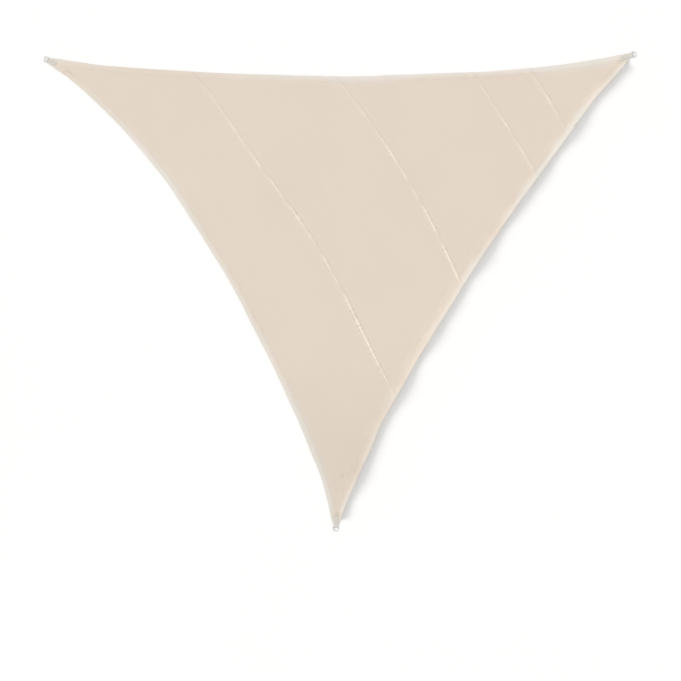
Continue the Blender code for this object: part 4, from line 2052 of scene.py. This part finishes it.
@dataclass(eq=False)
class DRing:
    """A welded D-ring of round wire, its bar in the tab's loop and its bow down on the floor."""

    ring: Ring
    tip: Tip
    bar_height: float
    wire: float
    inside_width: float = 0.027
    corner: float = 0.004
    floor_gap: float = 0.0001
    around: int = 20
    corner_steps: int = 8
    bow_steps: int = 40
    same_point: float = 1e-5
    sharp_from: float = radians(60)

    def __post_init__(self) -> None:
        """Works out the ring's half width and lean."""
        self.name = f"ring_wire_{self.ring.value}"
        self.half_width = (self.inside_width + self.wire) / 2
        drop = self.bar_height - self.wire / 2 - self.floor_gap
        self.tilt = asin(drop / self.tip.ring_depth)

    def wire_mesh(self) -> bpy.types.Mesh:
        """Sweeps the wire's round section along the bar, the corners and the bow.

        Returns:
            The ring's mesh.
        """
        bm = bmesh.new()
        facing = Matrix.Rotation(pi / 2, 4, "X")
        bmesh.ops.create_circle(bm, segments=self.around, radius=self.wire / 2, matrix=facing)
        half_bar = self.half_width - self.corner
        bow_from = self.tip.ring_depth - self.half_width
        rim = self.pushed(bm, bm.edges[:], (0.0, half_bar, 0.0))
        rim = self.swung(bm, rim, (self.corner, half_bar), pi / 2, self.corner_steps)
        rim = self.pushed(bm, rim, (bow_from - self.corner, 0.0, 0.0))
        rim = self.swung(bm, rim, (bow_from, 0.0), pi, self.bow_steps)
        rim = self.pushed(bm, rim, (self.corner - bow_from, 0.0, 0.0))
        rim = self.swung(bm, rim, (self.corner, -half_bar), pi / 2, self.corner_steps)
        self.pushed(bm, rim, (0.0, half_bar, 0.0))
        bmesh.ops.remove_doubles(bm, verts=bm.verts[:], dist=self.same_point)
        matrix = self.tip.matrix(self.bar_height, self.tilt)
        bmesh.ops.transform(bm, matrix=matrix, verts=bm.verts[:])
        return meshed(bm, self.name, self.sharp_from)

    @staticmethod
    def pushed(bm: bmesh.types.BMesh, rim: Rim, move: tuple[float, ...]) -> Rim:
        """Draws the wire on in a straight line.

        Args:
            bm: The wire so far.
            rim: The edges of its end.
            move: How far to draw it.

        Returns:
            The edges of its new end.
        """
        made = bmesh.ops.extrude_edge_only(bm, edges=rim)["geom"]
        moved = only(made, bmesh.types.BMVert)
        bmesh.ops.translate(bm, verts=moved, vec=move)
        ends = set(moved)
        return [edge for edge in only(made, bmesh.types.BMEdge) if ends.issuperset(edge.verts)]

    @staticmethod
    def swung(
        bm: bmesh.types.BMesh, rim: Rim, centre: tuple[float, float], turn: float, steps: int
    ) -> Rim:
        """Bends the wire on round an upright axis.

        Args:
            bm: The wire so far.
            rim: The edges of its end.
            centre: Where the axis stands.
            turn: The angle, clockwise from above.
            steps: How many steps it takes.

        Returns:
            The edges of its new end.
        """
        made = bmesh.ops.spin(
            bm, geom=rim, cent=(*centre, 0.0), axis=(0.0, 0.0, 1.0), angle=-turn, steps=steps
        )
        return only(made["geom_last"], bmesh.types.BMEdge)

    def build(self, wardrobe: Wardrobe) -> Piece:
        """Builds the ring and puts it in place of its solid.

        Args:
            wardrobe: The finishes.

        Returns:
            The piece.
        """
        piece = placed(self.name, self.wire_mesh(), wardrobe.steel_material)
        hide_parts(f"d_ring_{self.ring.value}")
        return piece


@dataclass(eq=False)
class Needle:
    """Sews rows of stitches onto surfaces that are already built."""

    pieces: list[Piece]
    stitch: float = 0.0036
    pitch: float = 0.0046
    thread: float = 0.00045
    sides: int = 5
    rings: int = 3
    batch: int = 120
    look_down_from: float = 0.2
    sharp_from: float = radians(80)

    def __post_init__(self) -> None:
        """Reads the surfaces to sew on."""
        verts: list[Vector] = []
        faces: list[list[int]] = []
        for piece in self.pieces:
            start = len(verts)
            verts += [vert.co.copy() for vert in piece.data.vertices]
            faces += [[start + i for i in face.vertices] for face in piece.data.polygons]
        self.surface = BVHTree.FromPolygons(verts, faces)

    def top(self, point: Vector) -> Optional[tuple[Vector, Vector]]:
        """The top of the surface over a point in plan, and its normal.

        Args:
            point: A point in plan.

        Returns:
            The place and its normal, or None beside the surface.
        """
        start = Vector((point.x, point.y, self.look_down_from))
        hit, normal, _, _ = self.surface.ray_cast(start, Vector((0.0, 0.0, -1.0)))
        return None if hit is None else (hit, normal)

    def stitches(self, row: Sequence[Vector]) -> list[Matrix]:
        """Spaces stitches along a row of points in plan.

        Args:
            row: The row's points, any distance apart.

        Returns:
            A matrix for each stitch, which takes a unit ball to the stitch's place and size.
        """
        places = []
        due = self.pitch / 2
        gone = 0.0
        for start, end in zip(row, row[1:]):
            length = (end - start).length
            while due <= gone + length and length > 0.0:
                middle = start.lerp(end, (due - gone) / length)
                due += self.pitch
                found = self.top(middle)
                if found is None:
                    continue
                hit, normal = found
                heading = (end - start).to_3d()
                side = normal.cross(heading).normalized()
                ahead = side.cross(normal).normalized()
                turn = Matrix((ahead, side, normal)).transposed().to_4x4()
                size = Matrix.Diagonal((self.stitch / 2, self.thread / 2, self.thread / 2, 1.0))
                places.append(Matrix.Translation(hit) @ turn @ size)
            gone += length
        return places

    def sewn(self, name: str, rows: Iterable[Sequence[Vector]]) -> bpy.types.Mesh:
        """Makes one mesh of all the stitches of some rows.

        Args:
            name: The mesh's name.
            rows: The rows, each a line of points in plan.

        Returns:
            The mesh.
        """
        places = [place for row in rows for place in self.stitches(row)]
        whole = bmesh.new()
        for start in range(0, len(places), self.batch):
            some = bmesh.new()
            for place in places[start : start + self.batch]:
                bmesh.ops.create_uvsphere(
                    some, u_segments=self.sides, v_segments=self.rings, radius=1.0, matrix=place
                )
            part = bpy.data.meshes.new(name)
            some.to_mesh(part)
            some.free()
            whole.from_mesh(part)
            bpy.data.meshes.remove(part)
        return meshed(whole, name, self.sharp_from)


@dataclass(eq=False)
class Stitching:
    """All the thread: two rows along each hem and each seam, and a crossed box on each tab."""

    plan: SailPlan
    lay: ClothLay
    hem_rows: tuple[float, ...] = (0.0270, 0.0325)
    seam_rows: tuple[float, ...] = (-0.0045, 0.0045)
    row_points: int = 400
    tab_clear: float = 0.001
    box_in: float = 0.004
    box_from_cut: float = 0.004
    # On webbing: the stitch's length, the pitch of the stitches and the thread's thickness
    tab_stitch: tuple[float, float, float] = (0.0030, 0.0038, 0.0006)

    def under_tab(self, point: Vector, tabs: Sequence[CornerTab]) -> bool:
        """Whether a tab covers a point.

        Args:
            point: A point in plan.
            tabs: The tabs.

        Returns:
            True where one does.
        """
        for tab in tabs:
            away = point - tab.tip.middle
            beside = abs(away.dot(tab.tip.lateral)) < tab.width / 2 + self.tab_clear
            if beside and away.dot(tab.tip.out) > -tab.leg - self.tab_clear:
                return True
        return False

    def run(self, line: BowedLine, offset: float, tabs: Sequence[CornerTab]) -> list[Vector]:
        """The points of one row along a line, where no tab covers it.

        Args:
            line: A side or a seam.
            offset: The row's offset from it.
            tabs: The tabs.

        Returns:
            The points in plan.
        """
        shares = (step / self.row_points for step in range(self.row_points + 1))
        spots = (self.plan.spot(line.at(share, offset)) for share in shares)
        points = (self.lay.drawn(spot) for spot in spots)
        return [point for point in points if not self.under_tab(point, tabs)]

    def box(self, tab: CornerTab) -> list[list[Vector]]:
        """The crossed box of stitches on a tab.

        Args:
            tab: The tab.

        Returns:
            Its four sides and two diagonals.
        """
        tip = tab.tip
        near = tip.middle - tip.out * self.box_from_cut
        far = tip.middle - tip.out * (tab.leg - self.box_in)
        half = tip.lateral * (tab.width / 2 - self.box_in)
        a, b, c, d = near - half, near + half, far + half, far - half
        return [[a, b], [b, c], [c, d], [d, a], [a, c], [b, d]]

    def build(
        self,
        wardrobe: Wardrobe,
        panels: list[Piece],
        tabs: Sequence[CornerTab],
        strips: list[Piece],
    ) -> list[Piece]:
        """Sews the hems and seams onto the panels and the boxes onto the tabs.

        Args:
            wardrobe: The finishes.
            panels: The built panels.
            tabs: The tabs.
            strips: The built strips of the tabs.

        Returns:
            A piece of thread for each hem, each seam and each tab.
        """
        rows = {
            f"hem_thread_{hem.value}": [self.run(side, inset, tabs) for inset in self.hem_rows]
            for hem, side in self.plan.sides.items()
        }
        for number, seam in enumerate(self.plan.seams):
            rows[f"seam_thread_{number + 1}"] = [
                self.run(seam, offset, tabs) for offset in self.seam_rows
            ]
        boxes = {f"tab_thread_{tab.ring.value}": self.box(tab) for tab in tabs}
        made = []
        for needle, slot, work in (
            (Needle(panels), Slot.CLOTH, rows),
            (Needle(strips, *self.tab_stitch), Slot.WEBBING, boxes),
        ):
            for name, lines in work.items():
                mesh = needle.sewn(name, lines)
                made.append(placed(name, mesh, wardrobe.thread_material))
        return made


@dataclass(eq=False)
class Studio:
    """The pale floor, the soft light from the upper left, and the camera straight above."""

    floor_half: float = 40.0
    floor_height: float = -0.0004
    floor_squares: int = 8
    floor: FloorFinish = FloorFinish("pale_floor", (0.945, 0.945, 0.945), 0.95)
    looked_at: tuple[float, float] = (0.0053, -0.3011)
    frame_width: float = 4.167
    camera_height: float = 14.0
    view_end: float = 140.0
    sensor: float = 36.0
    sky_color: Color = (1.0, 0.995, 0.985)
    sky_strength: float = 0.833
    key_place: tuple[float, float, float] = (-3.0, 1.0, 3.0)
    key_travel: tuple[float, float, float] = (0.95, -0.30, -0.79)
    key_energy: float = 1.25
    key_spread: float = radians(31)
    key_color: Color = (1.0, 0.985, 0.955)

    def set_camera(self) -> None:
        """Hangs the camera over the sail, with the top of the picture towards +Y."""
        data = bpy.data.cameras.new("camera")
        data.sensor_width = self.sensor
        data.lens = self.sensor * self.camera_height / self.frame_width
        data.clip_end = self.view_end
        camera = bpy.data.objects.new("camera", data)
        camera.location = (*self.looked_at, self.camera_height)
        bpy.context.scene.collection.objects.link(camera)
        bpy.context.scene.camera = camera

    def set_floor(self) -> None:
        """Lays the floor under the sail."""
        bm = bmesh.new()
        squares = self.floor_squares
        bmesh.ops.create_grid(bm, x_segments=squares, y_segments=squares, size=self.floor_half)
        bmesh.ops.translate(bm, verts=bm.verts[:], vec=(0.0, 0.0, self.floor_height))
        mesh = bpy.data.meshes.new("floor")
        bm.to_mesh(mesh)
        bm.free()
        mesh.materials.append(self.floor.material())
        floor = bpy.data.objects.new("floor", mesh)
        bpy.context.scene.collection.objects.link(floor)

    def set_light(self) -> None:
        """Sets the even sky and the soft key light."""
        scene = bpy.context.scene
        scene.world = bpy.data.worlds.new("studio")
        scene.world.use_nodes = True
        sky = scene.world.node_tree.nodes["Background"]
        sky.inputs["Color"].default_value = (*self.sky_color, 1.0)
        sky.inputs["Strength"].default_value = self.sky_strength
        key = bpy.data.lights.new("key", "SUN")
        key.energy = self.key_energy
        key.angle = self.key_spread
        key.color = self.key_color
        lamp = bpy.data.objects.new("key", key)
        lamp.rotation_mode = "QUATERNION"
        lamp.rotation_quaternion = Vector(self.key_travel).to_track_quat("-Z", "Y")
        lamp.location = self.key_place
        scene.collection.objects.link(lamp)
        scene.view_settings.view_transform = "Standard"

    def build(self) -> None:
        """Sets up the studio."""
        self.set_camera()
        self.set_floor()
        self.set_light()


def main() -> None:
    """Builds the studio and the sail, piece by piece."""
    logging.basicConfig(level=logging.INFO, format="%(name)s: %(message)s")
    Studio().build()
    wardrobe = Wardrobe(Effects())
    plan = SailPlan()
    lay = ClothLay(plan)
    panels = SailBody(plan, lay).build(wardrobe)
    tabs = [CornerTab(ring, plan.tips[ring], plan.tab_width, plan.tab_leg) for ring in Ring]
    strips = [tab.build(wardrobe) for tab in tabs]
    for tab in tabs:
        DRing(tab.ring, tab.tip, tab.bar_height, tab.wire).build(wardrobe)
    Stitching(plan, lay).build(wardrobe, panels, tabs, strips)


if __name__ == "__main__":
    main()
